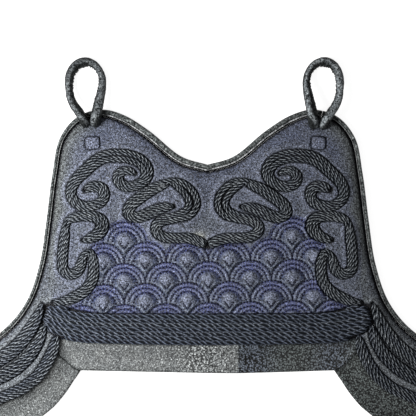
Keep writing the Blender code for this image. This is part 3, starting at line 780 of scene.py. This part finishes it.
class Finish:
    """A procedural material, built node by node in the object's own space."""

    def __init__(self, name, roughness, specular=0.5, emission=0.0):
        self.material = bpy.data.materials.new(name)
        self.material.use_nodes = True
        self.tree = self.material.node_tree
        self.shader = self.tree.nodes["Principled BSDF"]
        self.shader.inputs["Roughness"].default_value = roughness
        self.shader.inputs["Specular IOR Level"].default_value = specular
        self.shader.inputs["Emission Strength"].default_value = emission
        self.place = self.add("ShaderNodeTexCoord").outputs["Object"]
        self.colour = None
        self.normal = None

    def add(self, kind, **settings):
        node = self.tree.nodes.new(kind)
        for key, value in settings.items():
            if isinstance(value, (str, bool)):
                setattr(node, key, value)
            else:
                self.plug(value, node.inputs[key.replace("_", " ").title()])
        return node

    def plug(self, value, socket):
        """Links a socket, or sets a number or a colour."""
        if isinstance(value, bpy.types.NodeSocket):
            self.tree.links.new(value, socket)
        elif isinstance(value, tuple) and socket.type == "RGBA":
            socket.default_value = (*value, 1)
        else:
            socket.default_value = value

    def joined(self, kind, values, output=0, **settings):
        """A node's output from the values of its sockets, by their places."""
        node = self.add(kind, **settings)
        for socket, value in values.items():
            self.plug(value, node.inputs[socket])
        return node.outputs[output]

    def noise(self, size, detail=3.0, rough=0.55, output="Fac"):
        """Noise with features about size mm wide."""
        how = {"scale": 1 / (size * MM), "detail": detail, "roughness": rough}
        return self.add("ShaderNodeTexNoise", vector=self.place, **how).outputs[output]

    def cells(self, size, feature, vector=None):
        """Pebbles about size mm wide: distance from their middles or from their edges."""
        how = {"feature": feature, "vector": vector or self.place}
        return self.add("ShaderNodeTexVoronoi", scale=1 / (size * MM), **how).outputs["Distance"]

    def spread(self, value, low, high, to_low=0.0, to_high=1.0, **how):
        """The value's range low to high, spread over another."""
        ends = {"from_min": low, "from_max": high, "to_min": to_low, "to_max": to_high}
        return self.add("ShaderNodeMapRange", value=value, **ends, **how).outputs[0]

    def math(self, operation, a, b):
        return self.joined("ShaderNodeMath", {0: a, 1: b}, operation=operation)

    def mix(self, factor, a, b):
        """Colour a where the factor is 0 and b where it is 1."""
        return self.joined("ShaderNodeMix", {0: factor, 6: a, 7: b}, 2, data_type="RGBA")

    def patchy(self, size, low, high, dark, light, *kind):
        """A colour that wanders between two in patches about size mm wide."""
        return self.mix(self.spread(self.noise(size, *kind), low, high), dark, light)

    def scaled(self, colour, amount):
        """The colour made lighter or darker by the amount."""
        return self.joined("ShaderNodeVectorMath", {0: colour, 3: amount}, operation="SCALE")

    def painted(self, name):
        """The number of this name that is painted on the piece."""
        return self.add("ShaderNodeAttribute", attribute_name=name).outputs["Fac"]

    def bump(self, height, depth):
        """A relief depth mm deep, on top of any before it."""
        node = self.add("ShaderNodeBump", height=height, distance=depth * MM)
        if self.normal:
            self.plug(self.normal, node.inputs["Normal"])
        self.normal = node.outputs[0]

    def lay(self, where, colour):
        """Lays a colour over the one there is, where the piece is painted or a value is high."""
        if isinstance(where, str):
            where = self.painted(where)
        self.colour = self.mix(where, self.colour, colour)

    def fleck(self, value, low, high, dark, light):
        """Makes the colour darker where the value is low and lighter where it is high."""
        self.colour = self.scaled(self.colour, self.spread(value, low, high, dark, light))

    def speckle(self, size, dark, light):
        """Breaks the colour up into darker and lighter flecks, with a few bright painted glints."""
        self.fleck(self.noise(size, 1.5), 0.36, 0.64, dark, light)
        self.fleck(self.noise(0.9 * size, 1.0), 0.60, 0.74, 1.0, 2.0)

    def grain(self, pebble, depth):
        """Leather grain: soft pebbles parted by fine creases. Gives its height, up to about 1."""
        pull = self.noise(3 * pebble, 2.0, 0.5, "Color")
        sockets = {0: pull, 1: (0.8 * pebble * MM,) * 3, 2: self.place}
        moved = self.joined("ShaderNodeVectorMath", sockets, operation="MULTIPLY_ADD")
        edge = self.cells(pebble, "DISTANCE_TO_EDGE", moved)
        crease = self.spread(edge, 0.0, 0.3, interpolation_type="SMOOTHSTEP")
        fine = self.math("MULTIPLY", self.noise(pebble, 3.0, 0.6), 0.8)
        relief = self.math("ADD", self.math("MULTIPLY", crease, 0.5), fine)
        self.bump(relief, depth)
        return relief

    def done(self, size=0, smoothest=0.0, roughest=1.0):
        """The finished material. With a size, its roughness wanders between two numbers."""
        parts = {"Base Color": self.colour, "Normal": self.normal}
        if size:
            parts["Roughness"] = self.spread(self.noise(size), 0.3, 0.7, smoothest, roughest)
        for key, value in parts.items():
            if value:
                self.plug(value, self.shader.inputs[key])
        return self.material


def face_leather():
    f = Finish("panel leather", 0.42, 0.3)
    relief = f.grain(1.5, 0.75)
    f.colour = f.patchy(30, 0.38, 0.62, (0.040, 0.047, 0.073), (0.060, 0.068, 0.095))
    f.lay("faded", (0.055, 0.062, 0.074))
    f.lay(f.math("MULTIPLY", f.painted("worn"), 0.85), (0.062, 0.068, 0.064))
    # painted highlight on the puffs' and tabs' tops and beside the bands, neutral where the leather
    # is faded
    plain = f.spread(f.painted("faded"), 0.7, 1.0)
    f.lay("pale", f.mix(plain, (0.098, 0.109, 0.150), (0.113, 0.124, 0.130)))
    # painted highlight above the lowest scrolls' join
    f.lay("rubbed", (0.190, 0.196, 0.178))
    # the stitched rings: dye, a dark ground as painted shade in their grooves and round the puffs'
    # sides, and a painted highlight on their ridges
    ridge = f.painted("ridge")
    grey = f.mix(ridge, (0.025, 0.032, 0.052), (0.112, 0.126, 0.163))
    dyed = f.mix(ridge, (0.018, 0.023, 0.074), (0.072, 0.081, 0.146))
    f.lay("ring", f.mix(f.painted("blue"), grey, dyed))
    # the grain's creases darker and its pebbles lighter: painted shade and light
    f.fleck(relief, 0.35, 0.95, 0.6, 1.4)
    f.speckle(1.6, 0.2, 2.2)
    # painted shade at the bands' edges, by the bound edge and round the tabs
    f.lay("shade", (0.002, 0.002, 0.004))
    return f.done(2.5, 0.33, 0.55)


def flap_leather():
    f = Finish("flap leather", 0.5, 0.2)
    relief = f.grain(1.6, 0.7)
    f.colour = f.patchy(20, 0.35, 0.65, (0.130, 0.138, 0.140), (0.170, 0.178, 0.177))
    # the grain's creases darker and its pebbles lighter: painted shade and light
    f.fleck(relief, 0.4, 0.95, 0.5, 1.4)
    f.speckle(1.7, 0.5, 1.45)
    dots = f.cells(1.8, "F1")
    f.lay("coarse", f.scaled(f.colour, f.spread(dots, 0.12, 0.66, 3.1, 0.2)))
    # painted shade: the dark colour laid past the middle flap's crease, over the wing flaps and
    # along each flap's outline
    dark = f.mix(f.painted("blue"), (0.040, 0.047, 0.046), (0.052, 0.061, 0.077))
    f.lay("shade", f.scaled(dark, f.spread(dots, 0.12, 0.6, 3.6, 0.0)))
    # painted shadow along the seam, under the neighbouring flap's edge
    f.lay("seam", (0.004, 0.005, 0.005))
    return f.done(2.5, 0.4, 0.6)


def binding_leather():
    f = Finish("binding leather", 0.45, 0.1)
    f.grain(1.6, 0.8)
    f.colour = f.patchy(4.5, 0.38, 0.62, (0.032, 0.036, 0.036), (0.080, 0.087, 0.086), 3.0, 0.65)
    f.speckle(1.9, 0.1, 2.2)
    # painted shade in the groove beside the welt and on the roll's lower sides
    f.lay("shade", (0.002, 0.002, 0.003))
    return f.done(3, 0.35, 0.55)


def welt_leather():
    f = Finish("welt leather", 0.45)
    f.bump(f.noise(0.9), 0.25)
    patches = (5, 0.38, 0.62)
    # a lit and a shaded copy of the welt: the neck's is painted lit, the arms' are painted in shade
    plain = f.patchy(*patches, (0.05, 0.055, 0.055), (0.20, 0.21, 0.21))
    rubbed = f.patchy(*patches, (0.09, 0.095, 0.10), (0.46, 0.47, 0.48))
    light = f.mix(f.painted("rubbed"), plain, rubbed)
    # darker between the welt's raised stitches and lighter on them: painted shade and highlight
    f.colour = f.scaled(light, 0.45)
    f.lay("stitch", light)
    return f.done()


def loop_leather():
    f = Finish("loop leather", 0.45, 0.12)
    f.grain(1.6, 1.0)
    f.colour = f.patchy(6, 0.35, 0.65, (0.060, 0.067, 0.072), (0.115, 0.125, 0.129), 4.0)
    f.speckle(2.0, 0.05, 2.2)
    # painted light and shade: the right loop made lighter and the left one darker
    f.fleck(f.painted("pale"), 0, 1, 0.85, 1.6)
    # the rough seam dark, and painted shade down the roll's sides
    f.lay("seam", (0.003, 0.004, 0.004))
    return f.done()


def cord_cotton():
    f = Finish("cord cotton", 0.6, 0.12)
    f.bump(f.noise(0.9, 3.0, 0.7), 0.4)
    f.colour = f.patchy(5, 0.35, 0.65, (0.100, 0.112, 0.122), (0.190, 0.206, 0.218))
    f.lay("dyed", (0.056, 0.067, 0.094))
    # flecks of darker and lighter tone, the brightest of them painted highlights
    f.fleck(f.noise(1.9, 3.0, 0.75), 0.34, 0.66, 0.2, 2.2)
    # painted shade in the grooves between the plies and on the low sides
    f.lay(f.spread(f.painted("crevice"), 0.1, 0.7), (0.001, 0.002, 0.004))
    return f.done()


def shaded_cord_bed():
    f = Finish("cord bed", 0.9)
    f.bump(f.noise(0.8), 0.2)
    # near black: painted shade showing under and between the cords
    f.colour = f.mix(f.noise(5, 2.0), (0.003, 0.004, 0.006), (0.006, 0.007, 0.011))
    return f.done()


def stitch_thread():
    f = Finish("stitch thread", 0.6, 0.15)
    f.bump(f.noise(0.3, 2.0), 0.1)
    f.colour = f.mix(f.noise(4, 2.0), (0.001, 0.001, 0.005), (0.003, 0.003, 0.014))
    return f.done()


def floor_paper():
    f = Finish("floor", 0.9, emission=0.88)
    f.shader.inputs["Emission Color"].default_value = (1, 1, 1, 1)
    f.colour = f.mix(f.noise(60, 2.0), (0.40, 0.40, 0.40), (0.42, 0.42, 0.42))
    return f.done()


FACE = face_leather()
FLAP = flap_leather()
BINDING = binding_leather()
WELT = welt_leather()
LOOP = loop_leather()
CORD = cord_cotton()
CORD_BED = shaded_cord_bed()
THREAD = stitch_thread()


# ---- the pieces


# What face gives after the height
COLOURING = ("ring", "ridge", "pale", "blue", "worn", "faded", "rubbed", "shade")


def padded_panel():
    """The padded leather of breast and wings, one quilted skin over its flat underside."""
    outline = both_halves(np.vstack(padded_outline(OUTLINE_STEP)))
    grids = []
    for spacing in (WAVE_SPACING, PLAIN_SPACING, COVERED_SPACING):
        grid = staggered(outline, spacing)
        wave = in_field(grid) & (grid[:, 1] < SCALES[:, 1].max() + STITCH_RADII[0] + 3)
        wanted = np.where(wave, WAVE_SPACING, PLAIN_SPACING)
        wanted[clear_of_bands(grid) < -1.6] = COVERED_SPACING
        grids.append(grid[wanted == spacing])
    parts = ("panel_leather", outline, np.vstack(grids))
    top, bottom = (lambda points: face(points)[0]), (lambda points: np.zeros(len(points)))
    piece, upper, below = closed_sheet(*parts, top, bottom, FACE, "face_leather")
    paint_upper(piece, below, **dict(zip(COLOURING, face(upper)[1:])))
    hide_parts("padded_panel")


def stitch_places():
    """Where each stitch of the waves lies and which way it runs, the hidden ones left out."""
    stitched = []  # in one scale: across, up and the angle that the stitch runs at right angles to
    for radius in STITCH_RADII:
        count = int(radius * STITCH_SWEEP / STITCH_EVERY)
        for angle in np.pi / 2 + STITCH_SWEEP * ((np.arange(count) + 0.5) / count - 0.5):
            stitched.append((radius * math.cos(angle), radius * math.sin(angle), angle))
    rise = NOTCH_TOP - NOTCH_TIP
    lean = math.atan2(rise, NOTCH_HALF)
    for side in (-1, 1):
        for share in (0.22, 0.58, 0.94):
            at = (side * NOTCH_HALF * share, NOTCH_TIP + rise * share)
            stitched.append((*at, side * lean - np.pi / 2))
    places = []
    for k, centre in enumerate(SCALES):
        front = [c for c in SCALES[:k] if c[1] < centre[1] - SCALE_ROW / 2]
        for across, up, angle in stitched:
            at = centre + (across, up)
            if all(np.linalg.norm(at - c) > STITCH_RADII[0] + 0.4 for c in front):
                places.append((*at, angle + np.pi / 2))
    places = np.array(places)
    seen = in_field(places[:, :2]) & (clear_of_bands(places[:, :2]) > 0.2)
    return places[seen]


def stitches():
    """Short stitches of thread along each scale's arcs, sunk at their two ends."""
    heap = Heap()
    places = stitch_places()
    rng = np.random.default_rng(7)
    turn = np.arange(6) * np.pi / 3
    for (u, v, run), z in zip(places, face(places[:, :2])[0]):
        run += rng.uniform(-0.12, 0.12)
        length = STITCH_LENGTH * rng.uniform(0.85, 1.15)
        ahead = np.array([math.cos(run), math.sin(run), 0])
        wide = np.array([-ahead[1], ahead[0], 0]) * STITCH_HALF
        high = np.array([0, 0, STITCH_RISE])
        section = np.outer(np.cos(turn), wide) + np.outer(np.sin(turn), high)
        rings = []
        for along, size in STITCH_SHAPE:
            centre = np.array([u, v, z + 0.35 - 0.9 * along**2]) + ahead * along * length
            rings.append(centre + section * size)
        heap.add(np.array(rings))
    return heap.piece("wave_stitches", [THREAD], "cord")


BED = table(  # section of the bed under a band: off in shares of the band's width
    "off rise",
    (-0.45, -2.0), (-0.43, -0.2), (-0.25, 0.4), (0.25, 0.4), (0.43, -0.2), (0.45, -2.0),
)
CLIPPED_BEND = 0.35  # how much less than the band itself the rows of a clipped band bend


def cord_rows(path, pitch, clipped):
    """Paths of the single cords that fill a band. They lie side by side from its two edges in,
    and a cord ends where there is no more room; in a clipped band they lie side by side from
    the middle out, and end where the band's edge crosses them."""
    width = path[:, 2]
    rows = max(2, round(np.percentile(width, 70) / pitch))
    spacing = np.clip(width / rows, pitch * 0.84, pitch * 1.15)
    across = inward(path)
    made = []
    for j in range(-3 if clipped else 0, rows):
        if clipped:
            level = path[:, 1].min()
            off = (j - (rows - 1) / 2) * np.maximum(width, 0.93 * width.max()) / rows
            off = off + CLIPPED_BEND * (path[:, 1] - level)
            keep = np.abs(off) + 0.05 * pitch < width / 2
            off = np.clip(off, 0.42 * pitch - width / 2, width / 2 - 0.42 * pitch)
        else:
            from_edge = min(j, rows - 1 - j)
            side = -1 if j < rows / 2 else 1
            off = side * np.clip(width / 2 - spacing * (from_edge + 0.5), 0, None)
            room = width - spacing * (2 * from_edge + 1)
            keep = room > -0.3 * pitch if from_edge else room > -2 * pitch
            if 2 * from_edge + 1 == rows:
                off = 0 * off
        line = np.column_stack([path[:, :2] + off[:, None] * across, 2 * off / width])
        breaks = np.flatnonzero(np.diff(keep.astype(int))) + 1
        for run in np.split(np.arange(len(path)), breaks):
            if keep[run[0]] and len(run) > 5:
                made.append(line[run])
    return made


PLY = table(  # a third of a three-ply cord's section: angle round it, radius, how deep in shade
    "angle radius shade",
    (0, 0.64, 1), (16, 0.80, 1), (34, 1.0, 0.65), (60, 1.12, 0), (86, 1.0, 0.65), (104, 0.80, 1),
)


def twisted(heap, line, cord, rng):
    """One three-ply cord along a line of u, v and place across its band."""
    pitch = cord["pitch"]
    line = resampled(line, CORD_STEP)
    along = lengths(line)
    across = inward(line)
    knots = np.arange(0, along[-1] + 20, 8.0)
    drift, swing = (np.interp(along, knots, rng.uniform(-1, 1, len(knots))) for _ in range(2))
    turns = along / (cord["twist"] * rng.uniform(0.98, 1.02)) + 0.12 * drift
    phase = rng.uniform(-0.5, 0.5) - 2 * np.pi * turns
    ends = swell(np.minimum(along, along[-1] - along) / (0.9 * pitch))
    flat, high = (share * pitch * (0.35 + 0.65 * ends) for share in (0.56, 0.46))
    crown = 1 - line[:, 2] ** 2
    z = CORD_FLOOR - CORD_SUNK + high + (CORD_RISE + CORD_SUNK - 0.96 * pitch) * crown
    z += 0.16 * drift - 0.5 * (1 - ends)
    centre = line[:, :2] + (0.07 * pitch * swing)[:, None] * across
    angle = np.radians(np.concatenate([PLY["angle"] + third for third in (0, 120, 240)]))
    radius, shade = (np.tile(PLY[key], 3) for key in ("radius", "shade"))
    turn = phase[:, None] + angle
    off = flat[:, None] * radius * np.cos(turn)
    rings = rings_along(centre, across, off, z[:, None] + high[:, None] * radius * np.sin(turn))
    # painted shade in the grooves between the plies, and on the cord's low sides
    shade = shade * swell((np.sin(turn) - cord["open"]) / 0.4)
    low = swell((cord["low"] - np.sin(turn)) / 0.4)
    heap.add(rings, crevice=np.maximum(shade, low), dyed=rng.uniform(*cord["dyed"]))


def bed(path):
    """The low dark ridge under a band's cords, as rings, its near-black colour painted shade."""
    off = BED["off"] * path[:, 2:]
    return rings_along(path, inward(path), off, 0 * off + (CORD_FLOOR - 0.3 + BED["rise"]))


def couched_cords():
    """Each band of couched cord: rows of twisted cord on their bed."""
    for seed, (name, path) in enumerate(BANDS.items()):
        clipped = name == "hem_band"
        cord = HEM_CORD if clipped else WING_CORD if name.endswith("_cord") else SCROLL_CORD
        rng = np.random.default_rng(seed)
        heap = Heap()
        for line in cord_rows(path, cord["pitch"], clipped):
            twisted(heap, line, cord, rng)
        heap.add(bed(path[3:-3:2]), finish=1, crevice=0, dyed=0)
        piece = heap.piece(f"{name}_cords", [CORD, CORD_BED], "cord")
        side, _, run = name.partition("_")
        bands = [f"{side}_{scroll}" for scroll, _ in RUNS[run]] if run in RUNS else [name]
        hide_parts(*bands)


def binding(name, path):
    """A rolled leather edge with a stitched welt close on its inner side."""
    line = resampled(np.column_stack([path, inward(path)]), BINDING_STEP)
    lumps = 0.22 * wander(line, 12, 3.0) + 0.10 * wander(line, 4, 9.0)
    waves = lengths(line) * 2 * np.pi / WELT_STITCH + 1.6 * wander(line, 6, 1.0)
    stitch = swell(0.5 + 0.9 * np.sin(waves))[:, None]
    roll_turn = np.radians(np.linspace(205, 22, 11))
    welt_turn = np.radians(np.linspace(140, -25, 6))
    roll = line[:, 2:3]
    body, welt = ROLL_SHARE * roll, WELT_SHARE * roll / 2
    roll_off = body / 2 * (1 + np.cos(roll_turn))
    roll_z = BINDING_TOP - ROLL_HALF + (ROLL_HALF + lumps[:, None]) * np.sin(roll_turn)
    welt_off = body + 0.8 * welt + welt * np.cos(welt_turn)
    welt_z = WELT_Z + (0.5 + 0.3 * stitch) * np.sin(welt_turn)
    ledge = BOUND_SHARE * roll - 0.1
    low = np.full_like(roll, BINDING_BOTTOM)
    off = np.hstack([np.full_like(roll, BINDING_INSET), roll_off, welt_off, ledge, ledge])
    z = np.hstack([low, roll_z, welt_z, np.full_like(roll, LEDGE_TOP), low])
    column = np.arange(off.shape[1])
    first = 1 + len(roll_turn)  # point of the welt in a section
    past = first + len(welt_turn)
    # painted shade in the groove past the welt and on the roll's lower sides
    deep = np.where(column >= past - 2, 1.0, 0.0)
    deep[:first] = swell((0.75 - np.sin(roll_turn[[0, *range(len(roll_turn))]])) / 0.5)
    heap = Heap()
    sections = rings_along(line, line[:, 3:], off, z)
    # the neck's welt is painted lit
    heap.add(sections, flip=True, stitch=stitch, shade=deep, rubbed=float(name == "neck_binding"))
    on_welt = (column >= first - 1) & (column < past - 1)
    heap.which = np.tile(on_welt.astype(int), len(sections) - 1).tolist() + [0, 0]
    piece = heap.piece(name + "_leather", [BINDING, WELT], "binding_leather")
    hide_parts(name)


def bindings():
    """The neck's binding, and one down each side from the shoulder's peak to the wing's end."""
    shoulder = EDGE_PATH[:, 1] > NECK_BINDING_END_V
    peak = EDGE_LENGTHS[shoulder][np.argmin(np.abs(EDGE_PATH[shoulder, 0] - NECK_BINDING_END))]
    neck = edge_between(0, peak)
    arm = edge_between(peak + 1.5 * GAP, EDGE_LENGTHS[-1])
    binding("neck_binding", np.vstack([mirrored(neck)[:-1], neck]))
    binding("right_binding", arm)
    binding("left_binding", mirrored(arm))


def loop_path(side, step):
    """Middle of a shoulder loop's roll, from its outer foot over the top to its inner foot:
    u, v, height and radius."""
    shape = LOOP_SHAPE
    outward = -1 if side == "left" else 1
    across = np.concatenate([outward * shape["outer"], -outward * shape["inner"][::-1][1:]])
    up, clear = (np.concatenate([shape[k], shape[k][::-1][1:]]) for k in ("up", "clear"))
    radius = np.concatenate([shape["outer_radius"], shape["inner_radius"][::-1][1:]])
    u, v = loop_place(side, across, up)
    return smooth({"u": u, "v": v, "z": clear + radius, "radius": radius}, step)


def shoulder_loop(side):
    """A loop of rolled leather whose rough seam runs round its inner side, gathered at the
    top."""
    path = loop_path(side, LOOP_STEP)
    spine = path[:, :3]
    ahead = np.gradient(spine, axis=0)
    ahead /= np.linalg.norm(ahead, axis=1)[:, None]
    middle = np.array([*loop_place(side, 0, LOOP_MIDDLE), 8.0])
    inner = (middle - spine) * (1, 1, 0)
    inner -= (inner * ahead).sum(axis=1)[:, None] * ahead
    inner /= np.linalg.norm(inner, axis=1)[:, None]
    over = np.cross(inner, ahead)
    over *= np.sign(over[:, 2])[:, None]
    turn = np.arange(LOOP_AROUND) * 2 * np.pi / LOOP_AROUND
    along = lengths(path)
    tops = fade(along - along[-1] / 2, 24)
    seed = SIDES.index(side) * 5.0
    inner_side = np.clip(np.cos(turn - math.radians(15)), 0, 1) ** 1.3
    # painted shade down the roll's sides
    side_shade = swell((1.0 - np.sin(turn)) / 0.5)
    rings, seams = [], []
    for k, (at, radius, top) in enumerate(zip(spine, path[:, 3], tops)):
        share = along[k] / along[-1]
        if side == "right":
            share = 1 - share
        seam_at = math.radians(50 - 75 * float(swell((share - 0.45) / 0.3)))
        from_seam = (turn - seam_at + np.pi) % (2 * np.pi) - np.pi
        near = fade(from_seam, 0.50 + 0.45 * top)
        here = along[k] / GATHER_PITCH + 2 * noise.noise(Vector((along[k] / 6, seed, 0)))
        gather = math.sin(2 * np.pi * here)
        rough = np.array([noise.noise(Vector((along[k] / 2.4, t * 1.5, seed))) for t in turn])
        size = radius * (1 - (0.12 + 0.10 * top) * near) + 0.22 * rough
        size += (0.18 + 0.75 * top) * gather * inner_side + 0.5 * near * rough
        ring = np.outer(size * np.cos(turn), inner[k]) + np.outer(size * np.sin(turn), over[k]) + at
        ring[:, 2] = np.maximum(ring[:, 2], 0.05)
        rings.append(ring)
        # the rough seam dark, with painted shade down the roll's sides
        seams.append(np.maximum(np.clip(near * (1.3 + 1.2 * rough), 0, 1), 0.95 * side_shade))
    inside_out = np.dot(np.cross(inner[0], over[0]), ahead[0]) < 0
    heap = Heap()
    # pale marks the right loop, painted lighter
    heap.add(np.array(rings), flip=inside_out, seam=np.array(seams), pale=float(side == "right"))
    piece = heap.piece(f"{side}_loop_leather", [LOOP], "loop_leather")
    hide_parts(f"{side}_loop")


def loop_tab(side):
    """A small square of leather over the loop's anchor, its edges turned under."""
    line = np.linspace(-1, 1, TAB_POINTS)
    grid = np.stack(np.meshgrid(line, line), axis=-1).reshape(-1, 2)
    longest = np.abs(grid).max(axis=1)
    rounding = longest / np.maximum((np.abs(grid) ** 5).sum(axis=1) ** 0.2, 1e-6)
    flat = grid * rounding[:, None] * np.array(TAB_SIZE) / 2
    at = np.column_stack(turned(*flat.T, TAB_TURN[side])) + (TAB_U[side], TAB_V)
    z = PAD_TOP + 0.2 + 1.0 * (1 - longest**6) + 0.15 * wander(at, 4, 1.0)
    index = np.arange(len(at)).reshape(TAB_POINTS, TAB_POINTS)
    quads = np.stack([index[:-1, :-1], index[:-1, 1:], index[1:, 1:], index[1:, :-1]], axis=-1)
    quads = quads.reshape(-1, 4)
    ring = np.concatenate([index[0, :-1], index[:-1, -1], index[-1, :0:-1], index[:0:-1, 0]])
    sides = (np.column_stack([at, z]), quads, np.column_stack([at, 0 * z + PAD_TOP - 1.4]), quads)
    piece = closed(f"{side}_tab_leather", *sides, ring, FACE, "face_leather")
    # painted shade round the tab's edges and a painted highlight on its top
    edge = np.tile(swell((longest - 0.8) / 0.2), 2)
    paint(piece, shade=0.6 * edge, pale=0.55 * (1 - edge))
    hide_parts(f"{side}_loop_tab")


def flap_lift(points):
    """How far the middle flap's crease and its seam lift it off the floor."""
    u = points[:, 0] - CREASE_U
    reach = np.where(u < 0, CREASE_REACH_LEFT, CREASE_REACH_RIGHT)
    return CREASE_RISE * np.clip(1 - np.abs(u) / reach, 0, None) ** 1.4 + sewn_lift(points)


def sewn_lift(points):
    """How far a flap is lifted where it is sewn up against the padding."""
    return SEWN_RISE * fade(distance_to(points, FREE), SEWN_REACH)


def smallest_rectangle(outline):
    """Sides of the smallest rectangle that the outline can be cut from."""
    boxes = (np.ptp(turned(*outline.T, -turn), axis=1) for turn in range(90))
    return min(boxes, key=np.prod)


def flap(name, outline, lift, joined):
    """A lacing flap: a sheet of plain leather on the floor, or lifted off it by its crease;
    joined is where its neighbour's edge lies on it."""

    def top(points):
        ripple = 0.25 * wander(points, 16, 4.0) + 0.10 * wander(points, 5, 6.0)
        return lift(points) + FLAP_THICK + ripple

    parts = (name + "_leather", outline, staggered(outline, FLAP_SPACING))
    piece, upper, below = closed_sheet(*parts, top, lift, FLAP, "flap_leather")
    u = upper[:, 0]
    middle = float(name == "middle_flap")
    past = np.where(middle, u - CREASE_U, -1.0)  # how far past the crease, where it is darkened with painted shade
    # painted shade past the crease, over the whole flap as FLAP_SHADE gives, and along its outline
    shade = 0.95 * swell(past / 1.2) * (1 - 0.1 * swell(past / 60)) + FLAP_SHADE[name]
    # seam: a painted shadow cast along the seam by the neighbour's edge, wider on the right, away
    # from the lamp
    seam_reach = np.where(u > 0, 2.4, 1.1)
    paint_upper(
        piece,
        below,
        coarse=0.25 + 0.75 * middle * fade(u + 2, 34),
        shade=np.maximum(shade, 0.7 * fade(distance_to_edge(upper, outline), 1.0)),
        seam=0.85 * fade(distance_to(upper, joined), seam_reach),
        blue=middle * (fade(u - 125, 18) + fade(u - 45, 20)),
    )
    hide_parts(name)
    flat = tuple(float(side) * MM for side in smallest_rectangle(outline))


def lacing_flaps():
    """The middle flap along the hem, and a flap along each wing, sewn to the middle one."""
    hem = smooth(HEM_EDGE, 3.0) + (0, TUCK)
    seam = smooth(FLAP_SEAM, 2.0)
    lower = smooth(FLAP_LOWER, 3.0)
    top = np.vstack([mirrored(hem)[:-1], hem])
    under = TUCK * swell((seam[:, 1] - WING_FLAP_TOP) / 4)
    out = seam - under[:, None] * inward(seam)
    middle = np.vstack([top[1:-1], out[:-1], lower[::-1][:-1], mirrored(out)])
    nowhere = seam[:2] + (1000, 0)
    flap("middle_flap", middle, flap_lift, nowhere)

    seam = seam[seam[:, 1] < WING_FLAP_TOP]
    s = wing_stations(3.0)
    s = s[s >= 34]
    far = along_wing(s, FLAP_EDGE)
    last, edge = WING_LENGTH, FLAP_EDGE["t"][-1]
    corner = on_wing([last, last, last - WING_CORNER], [edge - WING_CORNER, edge, edge])
    start = on_wing([last], PAD_EDGE["t"][-1] - TUCK)
    end = rounded_corner(*corner, WING_CORNER)
    half = np.vstack([pad_edge(-TUCK, 3.0), start, end, far[::-1], seam[::-1]])
    flap("right_wing_flap", half, sewn_lift, seam)
    flap("left_wing_flap", mirrored(half), sewn_lift, mirrored(seam))


# ---- stage, light and camera


def floor():
    """A wide pale sheet, just under the object."""
    mesh = bpy.data.meshes.new("floor")
    near, far = -FLOOR_HALF, FLOOR_HALF
    corners = ((near, near), (far, near), (far, far), (near, far))
    mesh.from_pydata([(*corner, FLOOR_Z * MM) for corner in corners], [], [(0, 1, 2, 3)])
    mesh.materials.append(floor_paper())
    new_object("floor", mesh)


def lighting():
    """A low lamp on the left that rakes the relief, and an even light from above."""
    data = bpy.data.lights.new("key", "AREA")
    data.shape = "DISK"
    data.size = LAMP_SIZE
    data.energy = LAMP_POWER
    lamp = new_object("key", data)
    lamp.location = LAMP_PLACE
    lamp.rotation_mode = "QUATERNION"
    aim = Vector(LAMP_AIM) - Vector(LAMP_PLACE)
    lamp.rotation_quaternion = aim.to_track_quat("-Z", "Y")
    world = bpy.data.worlds.new("studio")
    world.use_nodes = True
    world.node_tree.nodes["Background"].inputs[0].default_value = (1, 1, 1, 1)
    world.node_tree.nodes["Background"].inputs[1].default_value = SKY_STRENGTH
    bpy.context.scene.world = world


def camera():
    """Straight down, framed on the breast so that the wings run out of the picture."""
    data = bpy.data.cameras.new("camera")
    data.sensor_width = 36.0
    data.lens = data.sensor_width * (CAMERA_HEIGHT - PAD_TOP) / CAMERA_FIELD
    view = new_object("camera", data)
    u, v = CAMERA_AT
    view.location = (u * MM, (v + V_ORIGIN) * MM, CAMERA_HEIGHT * MM)
    bpy.context.scene.camera = view


floor()
padded_panel()
stitches()
couched_cords()
bindings()
for each in SIDES:
    shoulder_loop(each)
    loop_tab(each)
lacing_flaps()
lighting()
camera()
bpy.context.scene.view_settings.view_transform = "Standard"
